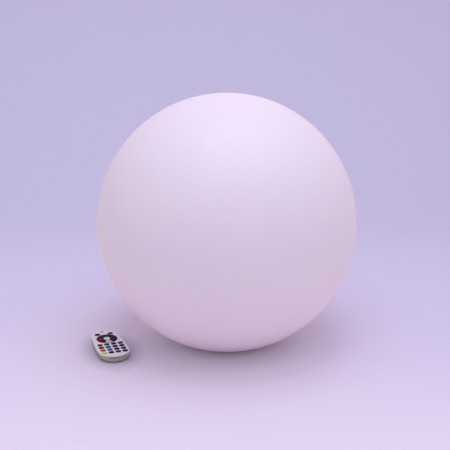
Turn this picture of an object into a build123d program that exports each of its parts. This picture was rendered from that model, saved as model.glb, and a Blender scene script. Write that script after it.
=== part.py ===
from build123d import *
from math import cos, radians, sin, sqrt
import os

# A light-up garden ball that stands on the floor, with the remote control that it is sold with.
# The origin is the middle of the ball's foot, on the floor. +Z is up and -Y faces the viewer.

os.makedirs("parts", exist_ok=True)

# ------------------------------------------------------------------ driving dimensions (mm)

# the ball
globe_radius = 200.0
globe_wall = 4.0
foot_height = 1.0               # the flat that the ball stands on is this far above the floor
foot_rim = 2.0                  # flat outside the foot ring
foot_ring_width = 4.0
foot_ring_inset = 1.5           # from the recess to the foot ring
foot_groove_depth = 1.5
pocket_depth = 16.0             # recess in the ball that takes the base
pocket_wall = 4.0
pocket_clearance = 0.8

# the thread between ball and base
spigot_radius = 44.0
thread_lead = 24.0              # the base drops this far in one turn
thread_starts = 4
thread_arc = 80.0
thread_depth = 1.6
thread_clearance = 0.4
thread_root = 3.4
thread_crest = 1.8
thread_embed = 0.6
collar_thread_rise = 6.0        # from the ring's lower face to the start of its ridges

# the screwed ring in the ball
collar_neck_wall = 3.5
collar_flange_width = 8.2       # from the neck to the flange's rim
collar_flange_thickness = 3.5
collar_height = 26.0
collar_screw_offset = 4.7       # from the neck to the screws
collar_screw_count = 6
collar_screw_length = 10.0
port_clearance = 0.5
gasket_thickness = 1.5
boss_radius = 4.0
boss_height = 8.0
insert_wall = 0.6
insert_length = 6.0

# the base
base_bottom = 5.0
base_gap = 0.4                  # between the base's flange and the ring above it
cup_wall = 2.5
dish_inset = 0.5                # the dish below is this much narrower than the cup above
dish_depth = 15.0
floor_thickness = 2.5
spigot_top = 50.0
grip_half_width = 8.0
grip_wall = 2.5
seal_offset = 5.0               # from the spigot to the middle of the seal
seal_thickness = 2.6
seal_groove_width = 3.2
seal_groove_depth = 2.3
housing_boss_inset = 5.5        # from the cup's wall to the middle of each boss
housing_boss_angles = [60, 120, 240, 300]
housing_screw_length = 16.0
housing_pilot_depth = 12.0

# screws
m3_radius = 1.5
m3_clearance = 0.1
m3_head_radius = 2.9
m3_head_height = 2.2

# what the base carries
cell_radius = 9.2
cell_length = 65.2
cell_spacing = 19.0
cradle_length = 70.0
cradle_width = 40.0
cradle_height = 13.5
cell_clearance = 0.2
plate_inset = 0.5               # the plate's rim, in from the spigot's outside
plate_thickness = 2.5
board_length = 66.0
board_width = 40.0
board_thickness = 1.6
board_clearance = 0.5           # from the base's inside, where a longer board is rounded off
board_drop = 4.0                # from the plate down to the board
board_hole_inset = 3.5
post_radius = 2.5
pin_radius = 1.4
led_board_inset = 1.3           # from the dome's inside
led_size = 5.0
led_height = 1.6
outer_led_circle = 21.0
inner_led_circle = 10.0
dome_gasket_thickness = 1.0
dome_flange_inset = 2.5         # from the plate's rim
dome_flange_thickness = 2.5
dome_radius = 31.0
dome_wall = 2.2
dome_straight = 8.0
lead_radius = 1.0
lead_bend = 2.0
lead_wall_gap = 2.2             # from the base's inside to the leads
lead_start = 7.5                # from the base's floor to the leads at the cells
socket_height = 3.6
socket_width = 5.0

# what shows in the dished underside
jack_place = (0.0, -30.0)
jack_barrel_radius = 5.6
jack_socket_radius = 2.75
jack_pin_radius = 1.05
jack_socket_depth = 9.5
jack_height = 12.6
jack_recess = 0.4
jack_flange_radius = 7.5
button_place = (0.0, 30.0)
button_radius = 5.7
button_travel = 1.5
button_stand = 2.5              # the button stands this far below the dish
button_flange = 7.0
switch_radius = 9.0
switch_height = 13.5
light_place = (22.0, -26.0)
light_radius = 1.5
light_stand = 0.5
light_height = 10.5
flap_hinge = (-20.5, 17.7)      # Y and Z of the flap's pin
flap_half_width = 8.0
flap_reach = 17.5
flap_thickness = 2.4
knuckle_radius = 2.0
flap_pin_radius = 0.8
flap_pin_clearance = 0.1
lug_inner = 6.1
lug_thickness = 2.5

# the remote control, in its own axes: x across, y towards its far end
remote_place = (-176.9, -69.6)
remote_turn = 19.3
remote_half_width = 24.25
widest_y = -5.0
nose_half_width = 19.0
nose_shoulder_y = 60.0
nose_y = 70.0
tail_half_width = 22.0
tail_shoulder_y = -28.0
tail_y = -39.5
seam_height = 9.0
remote_height = 12.0
face_thickness = 1.2
cover_wall = 1.6
cover_edge = 1.0                # the round of the cover's rim
remote_board_height = 8.2
remote_board_thickness = 1.0
mat_thickness = 1.5
key_columns = [-16.0, -5.35, 5.35, 16.0]
key_rows = [9.0, -1.8, -12.6, -23.4]
key_length = 7.8
key_width = 6.6
key_corner = 2.6
key_lip = 0.6                   # the key's foot is this much wider all round
key_gap = 0.25
key_rise = 1.3
key_travel = 0.8
ring_y = 31.5
ring_radius = 15.9
ring_inner_radius = 5.6
ring_gap = 0.4
centre_key_radius = 5.1
remote_screw_places = [(15.5, 45.0), (-15.5, 45.0)]
remote_screw_radius = 0.85
indicator_place = (-1.0, 62.5)
indicator_radius = 1.4
coin_radius = 10.0
coin_thickness = 2.5
coin_y = -21.0
tray_half_width = 11.5
tray_bottom = 4.6
tray_top = 8.0
tray_front = -9.0
rail_inset = 4.0                # from the tray's side to the rails under it
rail_width = 1.6
rail_length = 20.0
rail_lead = 1.0                 # the rails start this far ahead of the tray
tray_clearance = 0.2

# ------------------------------------------------------------------ radii and heights that follow

cup_radius = spigot_radius - cup_wall
dish_radius = cup_radius - dish_inset
collar_bore = spigot_radius + thread_depth + thread_clearance
collar_neck_radius = collar_bore + collar_neck_wall
collar_flange_radius = collar_neck_radius + collar_flange_width
collar_screw_circle = collar_neck_radius + collar_screw_offset
port_radius = collar_neck_radius + port_clearance
pocket_radius = collar_flange_radius + pocket_clearance
foot_ring_inner = pocket_radius + foot_ring_inset
foot_ring_outer = foot_ring_inner + foot_ring_width
foot_radius = foot_ring_outer + foot_rim
insert_radius = m3_radius + insert_wall
seal_circle = spigot_radius + seal_offset
plate_radius = spigot_radius - plate_inset
dome_flange_radius = plate_radius - dome_flange_inset
dome_inner_radius = dome_radius - dome_wall
led_board_radius = dome_inner_radius - led_board_inset
housing_boss_circle = cup_radius - housing_boss_inset
housing_boss_places = [
    (housing_boss_circle * cos(radians(angle)), housing_boss_circle * sin(radians(angle)))
    for angle in housing_boss_angles
]
globe_centre = foot_height + sqrt(globe_radius**2 - foot_radius**2)
inner_radius = globe_radius - globe_wall
pocket_ceiling = foot_height + pocket_depth
ceiling_top = pocket_ceiling + pocket_wall
sleeve_radius = pocket_radius + pocket_wall
sleeve_foot = globe_centre - sqrt(inner_radius**2 - sleeve_radius**2)
collar_bottom = pocket_ceiling - gasket_thickness - collar_flange_thickness
collar_thread_start = collar_bottom + collar_thread_rise
flange_top = collar_bottom - base_gap
dish_ceiling = base_bottom + dish_depth
cup_floor = dish_ceiling + floor_thickness
plate_top = spigot_top + plate_thickness
board_top = spigot_top - board_drop
lead_height = board_top + socket_height / 2
lead_level = cup_floor + lead_start
lead_rise = cup_radius - lead_wall_gap - lead_radius
cell_height = cup_floor + 1.5 + cell_radius
dome_flange_bottom = plate_top + dome_gasket_thickness
dome_flange_top = dome_flange_bottom + dome_flange_thickness
dome_centre = dome_flange_top + dome_straight
low = (Align.CENTER, Align.CENTER, Align.MIN)


# ------------------------------------------------------------------ the ball

with BuildPart() as globe_shell:
    with BuildSketch(Plane.XZ):
        with BuildLine():
            ThreePointArc(
                (0, globe_centre + globe_radius), (globe_radius, globe_centre), (foot_radius, foot_height)
            )
            Polyline(
                (foot_radius, foot_height),
                (pocket_radius, foot_height),
                (pocket_radius, pocket_ceiling),
                (port_radius, pocket_ceiling),
                (port_radius, ceiling_top),
                (sleeve_radius, ceiling_top),
                (sleeve_radius, sleeve_foot),
            )
            ThreePointArc(
                (sleeve_radius, sleeve_foot), (inner_radius, globe_centre), (0, globe_centre + inner_radius)
            )
            Line((0, globe_centre + inner_radius), (0, globe_centre + globe_radius))
        make_face()
    revolve(axis=Axis.Z)
    # groove for the foot ring
    with BuildSketch(Plane.XY.offset(foot_height)):
        Circle(foot_ring_outer)
        Circle(foot_ring_inner, mode=Mode.SUBTRACT)
    extrude(amount=foot_groove_depth, mode=Mode.SUBTRACT)
    # closed bosses over the ceiling, bored from below for the inserts and the screws' tips
    with BuildSketch(Plane.XY.offset(ceiling_top)):
        with PolarLocations(collar_screw_circle, collar_screw_count):
            Circle(boss_radius)
    extrude(amount=boss_height)
    with BuildSketch(Plane.XY.offset(pocket_ceiling)):
        with PolarLocations(collar_screw_circle, collar_screw_count):
            Circle(insert_radius)
    extrude(amount=insert_length, mode=Mode.SUBTRACT)
    with BuildSketch(Plane.XY.offset(pocket_ceiling)):
        with PolarLocations(collar_screw_circle, collar_screw_count):
            Circle(m3_radius + m3_clearance)
    extrude(amount=insert_length + 3, mode=Mode.SUBTRACT)
globe_shell.part.label = "globe_shell"
export_step(globe_shell.part, "parts/globe_shell.step")

with BuildPart() as foot_ring:
    with BuildSketch():
        Circle(foot_ring_outer)
        Circle(foot_ring_inner, mode=Mode.SUBTRACT)
    extrude(amount=foot_height + foot_groove_depth)
    fillet(foot_ring.edges().group_by(Axis.Z)[0], radius=0.6)
foot_ring.part.label = "foot_ring"
export_step(foot_ring.part, "parts/foot_ring.step")


def thread_ridge(wall_radius, start_height, outwards):
    """One helical ridge on a round wall, outwards (1) on a spigot or inwards (-1) in a bore."""
    helix = Helix(
        pitch=thread_lead,
        height=thread_lead * thread_arc / 360,
        radius=wall_radius,
        center=(0, 0, start_height),
    )
    with BuildPart() as ridge:
        with BuildSketch(Plane(origin=helix @ 0, x_dir=(1, 0, 0), z_dir=helix % 0)):
            with BuildLine():
                Polyline(
                    (-outwards * thread_embed, -thread_root / 2),
                    (outwards * thread_depth, -thread_crest / 2),
                    (outwards * thread_depth, thread_crest / 2),
                    (-outwards * thread_embed, thread_root / 2),
                    close=True,
                )
            make_face()
        sweep(path=helix, is_frenet=True)
    return ridge.part


collar_ridge = thread_ridge(collar_bore, collar_thread_start, -1)

with BuildPart() as thread_collar:
    with BuildSketch(Plane.XY.offset(collar_bottom)):
        Circle(collar_flange_radius)
    extrude(amount=collar_flange_thickness)
    with BuildSketch(Plane.XY.offset(collar_bottom)):
        Circle(collar_neck_radius)
    extrude(amount=collar_height)
    with BuildSketch(Plane.XY.offset(collar_bottom)):
        Circle(collar_bore)
    extrude(amount=collar_height, mode=Mode.SUBTRACT)
    with PolarLocations(0, thread_starts):
        add(collar_ridge)
    with Locations(Plane(origin=(0, 0, collar_bottom), z_dir=(0, 0, -1))):
        with PolarLocations(collar_screw_circle, collar_screw_count):
            CounterSinkHole(m3_radius + m3_clearance, m3_head_radius + m3_clearance, collar_flange_thickness)
thread_collar.part.label = "thread_collar"
export_step(thread_collar.part, "parts/thread_collar.step")

with BuildPart() as collar_gasket:
    with BuildSketch(Plane.XY.offset(pocket_ceiling - gasket_thickness)):
        Circle(collar_flange_radius - 0.2)
        Circle(port_radius + 0.3, mode=Mode.SUBTRACT)
        with PolarLocations(collar_screw_circle, collar_screw_count):
            Circle(m3_radius + 2 * m3_clearance, mode=Mode.SUBTRACT)
    extrude(amount=gasket_thickness)
collar_gasket.part.label = "collar_gasket"
export_step(collar_gasket.part, "parts/collar_gasket.step")

with BuildPart() as collar_inserts:
    with BuildSketch(Plane.XY.offset(pocket_ceiling)):
        with PolarLocations(collar_screw_circle, collar_screw_count):
            Circle(insert_radius)
            Circle(m3_radius, mode=Mode.SUBTRACT)
    extrude(amount=insert_length)
collar_inserts.part.label = "collar_inserts"
export_step(collar_inserts.part, "parts/collar_inserts.step")

with BuildPart(Plane.XY.offset(collar_bottom)) as collar_screws:
    with PolarLocations(collar_screw_circle, collar_screw_count):
        Cone(m3_head_radius, m3_radius, m3_head_radius - m3_radius, align=low)
        Cylinder(m3_radius, collar_screw_length, align=low)
        Box(3.4, 0.8, 0.8, align=low, mode=Mode.SUBTRACT)
        Box(0.8, 3.4, 0.8, align=low, mode=Mode.SUBTRACT)
collar_screws.part.label = "collar_screws"
export_step(collar_screws.part, "parts/collar_screws.step")

# ------------------------------------------------------------------ the base

with BuildPart() as o_ring:
    with BuildSketch(Plane.XZ):
        with Locations((seal_circle, flange_top - seal_groove_depth + seal_thickness / 2 + 0.05)):
            Circle(seal_thickness / 2)
    revolve(axis=Axis.Z)
o_ring.part.label = "o_ring"
export_step(o_ring.part, "parts/o_ring.step")

thread_half_pitch = thread_lead / thread_starts / 2
base_ridge = thread_ridge(spigot_radius, collar_thread_start + thread_half_pitch, 1)

with BuildPart() as base_housing:
    with BuildSketch(Plane.XZ):
        with BuildLine():
            Polyline(
                (0, cup_floor),
                (cup_radius, cup_floor),
                (cup_radius, spigot_top),
                (spigot_radius, spigot_top),
                (spigot_radius, flange_top),
                (collar_flange_radius, flange_top),
                (collar_flange_radius, base_bottom),
                (dish_radius, base_bottom),
                (dish_radius, dish_ceiling),
                (0, dish_ceiling),
                close=True,
            )
        make_face()
    revolve(axis=Axis.Z)
    rim_edges = base_housing.edges().filter_by(GeomType.CIRCLE).group_by(Axis.Z)[0]
    fillet(rim_edges, radius=1.5)
    # hollow bar across the dish, for finger and thumb
    with BuildSketch(Plane.YZ.offset(-dish_radius - 0.3)) as bar_section:
        with Locations((0, base_bottom)):
            Rectangle(2 * grip_half_width, dish_depth + 0.5, align=(Align.CENTER, Align.MIN))
        fillet(bar_section.vertices().group_by(Axis.Z)[0], radius=3)
    extrude(amount=2 * (dish_radius + 0.3))
    with BuildSketch(Plane.XY.offset(base_bottom + grip_wall)):
        RectangleRounded(1.75 * dish_radius, 2 * (grip_half_width - grip_wall), 2)
    extrude(amount=cup_floor - base_bottom - grip_wall, mode=Mode.SUBTRACT)
    # groove for the seal
    with BuildSketch(Plane.XY.offset(flange_top)):
        Circle(seal_circle + seal_groove_width / 2)
        Circle(seal_circle - seal_groove_width / 2, mode=Mode.SUBTRACT)
    extrude(amount=-seal_groove_depth, mode=Mode.SUBTRACT)
    # bosses for the four long screws
    with BuildSketch(Plane.XY.offset(cup_floor - 0.5)):
        with Locations(*housing_boss_places):
            Circle(boss_radius)
    extrude(amount=spigot_top - cup_floor + 0.5)
    with BuildSketch(Plane.XY.offset(spigot_top)):
        with Locations(*housing_boss_places):
            Circle(m3_radius)
    extrude(amount=-housing_pilot_depth, mode=Mode.SUBTRACT)
    # ways through the floor for the jack, the button and the charge light
    with BuildSketch(Plane.XY.offset(dish_ceiling)):
        with Locations(jack_place):
            Circle(jack_barrel_radius + 0.1)
        with Locations(button_place):
            Circle(button_radius + 0.3)
        with Locations(light_place):
            Circle(light_radius + 0.05)
    extrude(amount=floor_thickness, mode=Mode.SUBTRACT)
    # lugs for the flap's pin
    for lug_start in (lug_inner, -lug_inner - lug_thickness):
        with BuildSketch(Plane.YZ.offset(lug_start)):
            with Locations(flap_hinge):
                Circle(knuckle_radius + 0.2)
            with Locations((flap_hinge[0], (flap_hinge[1] + dish_ceiling + 0.5) / 2)):
                Rectangle(2 * (knuckle_radius + 0.2), dish_ceiling + 0.5 - flap_hinge[1])
            with Locations(flap_hinge):
                Circle(flap_pin_radius, mode=Mode.SUBTRACT)
        extrude(amount=lug_thickness)
    with PolarLocations(0, thread_starts):
        add(base_ridge)
base_housing.part.label = "base_housing"
export_step(base_housing.part, "parts/base_housing.step")

with BuildPart() as flap_pin:
    with BuildSketch(Plane.YZ.offset(-lug_inner - lug_thickness)):
        with Locations(flap_hinge):
            Circle(flap_pin_radius)
    extrude(amount=2 * (lug_inner + lug_thickness))
flap_pin.part.label = "flap_pin"
export_step(flap_pin.part, "parts/flap_pin.step")

flap_top = dish_ceiling - 0.1
with BuildPart() as port_flap:
    with BuildSketch(Plane.XY.offset(flap_top)):
        with Locations((0, jack_place[1])):
            Circle(flap_half_width)
        with Locations((0, (jack_place[1] + flap_hinge[0]) / 2)):
            Rectangle(2 * (lug_inner - 0.5), flap_hinge[0] - jack_place[1])
    extrude(amount=-flap_thickness)
    fillet(port_flap.faces().sort_by(Axis.Z)[0].edges().filter_by(GeomType.CIRCLE), radius=0.8)
    with BuildSketch(Plane.YZ.offset(-lug_inner + 0.3)):
        with Locations(flap_hinge):
            Circle(knuckle_radius)
    extrude(amount=2 * (lug_inner - 0.3))
    with BuildSketch(Plane.YZ.offset(-lug_inner)):
        with Locations(flap_hinge):
            Circle(flap_pin_radius + flap_pin_clearance)
    extrude(amount=2 * lug_inner, mode=Mode.SUBTRACT)
    # finger tab at the free end
    with BuildSketch(Plane.XY.offset(flap_top)):
        with Locations((0, jack_place[1] - flap_half_width)):
            SlotOverall(6, 3)
    extrude(amount=-1.4)
port_flap.part.label = "port_flap"
export_step(port_flap.part, "parts/port_flap.step")

jack_bottom = dish_ceiling + jack_recess
jack_top = jack_bottom + jack_height
with BuildPart(Plane.XY.offset(jack_bottom)) as charge_jack:
    with Locations(jack_place):
        Cylinder(jack_barrel_radius, jack_height, align=low)
        with Locations((0, 0, floor_thickness - jack_recess)):
            Cylinder(jack_flange_radius, 2, align=low)
        Cylinder(jack_socket_radius, jack_socket_depth, align=low, mode=Mode.SUBTRACT)
        with Locations((0, 0, 1)):
            Cylinder(jack_pin_radius, jack_socket_depth, align=low)
charge_jack.part.label = "charge_jack"
export_step(charge_jack.part, "parts/charge_jack.step")

button_flange_thickness = 1.5
button_foot = cup_floor + 0.1
switch_top = cup_floor + switch_height
with BuildPart(Plane.XY.offset(cup_floor)) as power_switch:
    with Locations(button_place):
        Cylinder(switch_radius, switch_height, align=low)
        Cylinder(
            button_flange + 0.4,
            button_flange_thickness + button_travel + 1,
            align=low,
            mode=Mode.SUBTRACT,
        )
power_switch.part.label = "power_switch"
export_step(power_switch.part, "parts/power_switch.step")

button_face = dish_ceiling - button_stand
with BuildPart(Plane.XY.offset(button_face)) as power_button:
    with Locations(button_place):
        Cylinder(button_radius, button_foot + button_flange_thickness - button_face, align=low)
        with Locations((0, 0, button_foot - button_face)):
            Cylinder(button_flange, button_flange_thickness, align=low)
    fillet(power_button.edges().group_by(Axis.Z)[0], radius=1.2)
power_button.part.label = "power_button"
export_step(power_button.part, "parts/power_button.step")

light_bottom = dish_ceiling - light_stand
light_top = light_bottom + light_height
with BuildPart(Plane.XY.offset(light_bottom)) as charge_light:
    with Locations(light_place):
        Cylinder(light_radius, light_height, align=low)
        with Locations((0, 0, floor_thickness + light_stand)):
            Cylinder(light_radius + 0.9, 1.2, align=low)
    fillet(charge_light.edges().group_by(Axis.Z)[0], radius=0.4)
charge_light.part.label = "charge_light"
export_step(charge_light.part, "parts/charge_light.step")

# ------------------------------------------------------------------ battery and boards

cell_rows = [cell_spacing / 2, -cell_spacing / 2]

with BuildPart() as battery_cells:
    with BuildSketch(Plane.YZ.offset(-cell_length / 2)):
        with Locations(*[(y, cell_height) for y in cell_rows]):
            Circle(cell_radius)
    extrude(amount=cell_length - 1.2)
    fillet(battery_cells.edges().filter_by(GeomType.CIRCLE), radius=0.8)
    with BuildSketch(Plane.YZ.offset(cell_length / 2 - 1.2)):
        with Locations(*[(y, cell_height) for y in cell_rows]):
            Circle(3.2)
    extrude(amount=1.2)
battery_cells.part.label = "battery_cells"
export_step(battery_cells.part, "parts/battery_cells.step")

with BuildPart() as battery_cradle:
    with BuildSketch(Plane.XY.offset(cup_floor)):
        RectangleRounded(cradle_length, cradle_width, 4)
    extrude(amount=cradle_height)
    with BuildSketch(Plane.YZ.offset(-cell_length / 2 - cell_clearance)):
        with Locations(*[(y, cell_height) for y in cell_rows]):
            Circle(cell_radius + cell_clearance)
    extrude(amount=cell_length + 2 * cell_clearance, mode=Mode.SUBTRACT)
battery_cradle.part.label = "battery_cradle"
export_step(battery_cradle.part, "parts/battery_cradle.step")

hole_x = board_length - 2 * board_hole_inset
hole_y = board_width - 2 * board_hole_inset
header_place = (-14.0, 0.0)

with BuildPart() as mounting_plate:
    with BuildSketch(Plane.XY.offset(spigot_top)):
        Circle(plate_radius)
        with Locations(*housing_boss_places):
            Circle(m3_radius + m3_clearance, mode=Mode.SUBTRACT)
        with Locations(header_place):
            Rectangle(4, 12, mode=Mode.SUBTRACT)
    extrude(amount=plate_thickness)
    with BuildSketch(Plane.XY.offset(spigot_top + 0.5)):
        with GridLocations(hole_x, hole_y, 2, 2):
            Circle(post_radius)
    extrude(amount=-board_drop - 0.5)
    # pins through the board, with melted heads below it
    with BuildSketch(Plane.XY.offset(board_top)):
        with GridLocations(hole_x, hole_y, 2, 2):
            Circle(pin_radius)
    extrude(amount=-board_thickness)
    with BuildSketch(Plane.XY.offset(board_top - board_thickness)):
        with GridLocations(hole_x, hole_y, 2, 2):
            Circle(pin_radius + 0.8)
    extrude(amount=-0.9)
mounting_plate.part.label = "mounting_plate"
export_step(mounting_plate.part, "parts/mounting_plate.step")

with BuildPart() as control_board:
    with BuildSketch(Plane.XY.offset(board_top - board_thickness)):
        RectangleRounded(board_length, board_width, 2)
        Circle(cup_radius - board_clearance, mode=Mode.INTERSECT)
        with GridLocations(hole_x, hole_y, 2, 2):
            Circle(pin_radius + 0.1, mode=Mode.SUBTRACT)
    extrude(amount=board_thickness)
control_board.part.label = "control_board"
export_step(control_board.part, "parts/control_board.step")

half_board = board_width / 2
socket_inset = socket_width / 2
socket_places = [
    (board_length / 2 - socket_inset, 0),
    (0, half_board - socket_inset),
    (0, socket_inset - half_board),
    (light_place[0], socket_inset - half_board),
]

with BuildPart(Plane.XY.offset(board_top)) as board_parts:
    with Locations(*socket_places):
        Box(socket_width, socket_width, socket_height, align=low)
    with Locations((10, 4)):
        Box(9, 9, 1.4, align=low)
    with Locations((9 - board_length / 2, 6)):
        Box(7, 7, 3, align=low)
    with Locations((18, 7.5)):
        Cylinder(2.2, 3.2, align=low)
    with Locations((-3, -6), (3, -6), (9, -7)):
        Box(3.2, 1.6, 1.1, align=low)
board_parts.part.label = "board_parts"
export_step(board_parts.part, "parts/board_parts.step")

with BuildPart(Plane.XY.offset(board_top)) as led_header:
    with Locations(header_place):
        Box(2.5, 10.2, plate_top - board_top, align=low)
led_header.part.label = "led_header"
export_step(led_header.part, "parts/led_header.step")

cradle_end = cradle_length / 2
lead_routes = [
    [
        (cradle_end, 0, lead_level),
        (lead_rise, 0, lead_level),
        (lead_rise, 0, lead_height),
        (board_length / 2, 0, lead_height),
    ],
    [(*jack_place, jack_top), (*jack_place, lead_height), (0, -half_board, lead_height)],
    [(*button_place, switch_top), (*button_place, lead_height), (0, half_board, lead_height)],
    [(*light_place, light_top), (*light_place, lead_height), (light_place[0], -half_board, lead_height)],
]
# the first lead's bends fit in the gap between the board's end and the wall
lead_bends = [min(lead_bend, 0.9 * (lead_rise - board_length / 2)), 5.0, 5.0, 4.0]

lead_tubes = []
for route, bend in zip(lead_routes, lead_bends):
    with BuildPart() as lead:
        with BuildLine():
            route_line = FilletPolyline(*route, radius=bend)
        with BuildSketch(Plane(origin=route_line @ 0, z_dir=route_line % 0)):
            Circle(lead_radius)
        sweep(path=route_line)
    lead_tubes.append(lead.part)
with BuildPart() as wiring_leads:
    for tube in lead_tubes:
        add(tube)
wiring_leads.part.label = "wiring_leads"
export_step(wiring_leads.part, "parts/wiring_leads.step")

# ------------------------------------------------------------------ lamp

with BuildPart() as led_board:
    with BuildSketch(Plane.XY.offset(plate_top)):
        Circle(led_board_radius)
    extrude(amount=board_thickness)
led_board.part.label = "led_board"
export_step(led_board.part, "parts/led_board.step")

led_bottom = plate_top + board_thickness
with BuildPart(Plane.XY.offset(led_bottom)) as leds:
    with PolarLocations(outer_led_circle, 12):
        Box(led_size, led_size, led_height, align=low)
    with PolarLocations(inner_led_circle, 4, start_angle=45):
        Box(led_size, led_size, led_height, align=low)
    with PolarLocations(outer_led_circle, 12):
        with Locations((0, 0, led_height - 0.3)):
            Cylinder(2, 0.3, align=low, mode=Mode.SUBTRACT)
    with PolarLocations(inner_led_circle, 4, start_angle=45):
        with Locations((0, 0, led_height - 0.3)):
            Cylinder(2, 0.3, align=low, mode=Mode.SUBTRACT)
leds.part.label = "leds"
export_step(leds.part, "parts/leds.step")

with BuildPart(Plane.XY.offset(led_bottom)) as ir_receiver:
    Box(6, 5, 5.5, align=low)
    with Locations((0, 0, 5.5)):
        Sphere(2.2)
ir_receiver.part.label = "ir_receiver"
export_step(ir_receiver.part, "parts/ir_receiver.step")

with BuildPart() as dome_gasket:
    with BuildSketch(Plane.XY.offset(plate_top)):
        Circle(dome_flange_radius)
        Circle(dome_inner_radius, mode=Mode.SUBTRACT)
        with Locations(*housing_boss_places):
            Circle(m3_radius + m3_clearance, mode=Mode.SUBTRACT)
    extrude(amount=dome_gasket_thickness)
dome_gasket.part.label = "dome_gasket"
export_step(dome_gasket.part, "parts/dome_gasket.step")

with BuildPart() as diffuser_dome:
    with BuildSketch(Plane.XZ):
        with BuildLine():
            Polyline(
                (dome_inner_radius, dome_centre),
                (dome_inner_radius, dome_flange_bottom),
                (dome_flange_radius, dome_flange_bottom),
                (dome_flange_radius, dome_flange_top),
                (dome_radius, dome_flange_top),
                (dome_radius, dome_centre),
            )
            CenterArc((0, dome_centre), dome_radius, 0, 90)
            Line((0, dome_centre + dome_radius), (0, dome_centre + dome_inner_radius))
            CenterArc((0, dome_centre), dome_inner_radius, 90, -90)
        make_face()
    revolve(axis=Axis.Z)
    with BuildSketch(Plane.XY.offset(dome_flange_bottom)):
        with Locations(*housing_boss_places):
            Circle(m3_radius + m3_clearance)
    extrude(amount=dome_flange_thickness, mode=Mode.SUBTRACT)
diffuser_dome.part.label = "diffuser_dome"
export_step(diffuser_dome.part, "parts/diffuser_dome.step")

with BuildPart(Plane.XY.offset(dome_flange_top)) as housing_screws:
    with Locations(*housing_boss_places):
        Cylinder(m3_head_radius, m3_head_height, align=low)
        Cylinder(m3_radius, housing_screw_length, align=(Align.CENTER, Align.CENTER, Align.MAX))
    fillet(housing_screws.edges().group_by(Axis.Z)[-1], radius=0.9)
    with Locations(*housing_boss_places):
        with Locations((0, 0, m3_head_height - 1)):
            Box(3.4, 0.8, 1, align=low, mode=Mode.SUBTRACT)
            Box(0.8, 3.4, 1, align=low, mode=Mode.SUBTRACT)
housing_screws.part.label = "housing_screws"
export_step(housing_screws.part, "parts/housing_screws.step")

# ------------------------------------------------------------------ the remote control

remote_across = (cos(radians(remote_turn)), sin(radians(remote_turn)), 0)
remote_ahead = (-sin(radians(remote_turn)), cos(radians(remote_turn)), 0)
remote_floor = Plane(origin=(*remote_place, 0), x_dir=remote_across, z_dir=(0, 0, 1))
ceiling = remote_height - face_thickness
mat_bottom = remote_board_height + remote_board_thickness
key_bottom = mat_bottom + key_travel
key_foot_top = ceiling - 0.1
key_top = remote_height + key_rise


def remote_plan(side, tail, nose):
    """The remote's egg-shaped plan, drawn in by the given amounts at its sides, tail and nose."""
    half = remote_half_width - side
    upper = (nose_half_width - side, nose_shoulder_y - nose)
    lower = (tail_half_width - side, tail_shoulder_y + tail)
    with BuildSketch() as plan:
        with BuildLine():
            TangentArc((half, widest_y), upper, tangent=(0, 1))
            TangentArc((0, nose_y - nose), upper, tangent=(1, 0))
            TangentArc((half, widest_y), lower, tangent=(0, -1))
            TangentArc((0, tail_y + tail), lower, tangent=(1, 0))
            mirror(about=Plane.YZ)
        make_face()
        fillet(plan.vertices().filter_by_position(Axis.Y, upper[1] - 0.1, upper[1] + 0.1), radius=8)
        fillet(plan.vertices().filter_by_position(Axis.Y, lower[1] - 0.1, lower[1] + 0.1), radius=9)
    return plan.sketch


def key_plan(grow):
    """The soft oblong of one key, made larger all round by grow."""
    with BuildSketch() as plan:
        RectangleRounded(key_length + 2 * grow, key_width + 2 * grow, key_corner + grow)
    return plan.sketch


def sector_plan(middle, spread, outer, inner):
    """One sector of the colour ring, with half a gap taken off each straight side."""
    half = radians(spread / 2)
    turn = radians(middle)
    back = ring_gap / 2 / sin(half)
    apex = (back * cos(turn), back * sin(turn))
    far = 3 * ring_radius
    with BuildSketch() as plan:
        Circle(outer)
        Circle(inner, mode=Mode.SUBTRACT)
        with BuildLine():
            Polyline(
                apex,
                (apex[0] + far * cos(turn - half), apex[1] + far * sin(turn - half)),
                (apex[0] + far * cos(turn), apex[1] + far * sin(turn)),
                (apex[0] + far * cos(turn + half), apex[1] + far * sin(turn + half)),
                close=True,
            )
        make_face(mode=Mode.INTERSECT)
    return plan.sketch


colour_names = [
    ["crimson", "scarlet", "orange", "yellow"],
    ["green", "teal", "cyan", "petrol"],
    ["indigo", "navy", "purple", "magenta"],
]
mode_names = ["flash", "strobe", "fade", "smooth"]
key_places = {"key_off": (-10.6, 51.8), "key_on": (10.2, 51.8)}
for column, names in enumerate(colour_names):
    for row, name in enumerate(names):
        key_places[f"key_{name}"] = (key_columns[column], key_rows[row])
for row, name in enumerate(mode_names):
    key_places[f"key_{name}"] = (key_columns[3], key_rows[row])

# the ring's sectors: middle of each and how wide it is, in degrees
ring_sectors = {
    "key_ring_green": (90, 100),
    "key_ring_red": (194, 108),
    "key_ring_white": (270, 44),
    "key_ring_blue": (346, 108),
}

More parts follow.
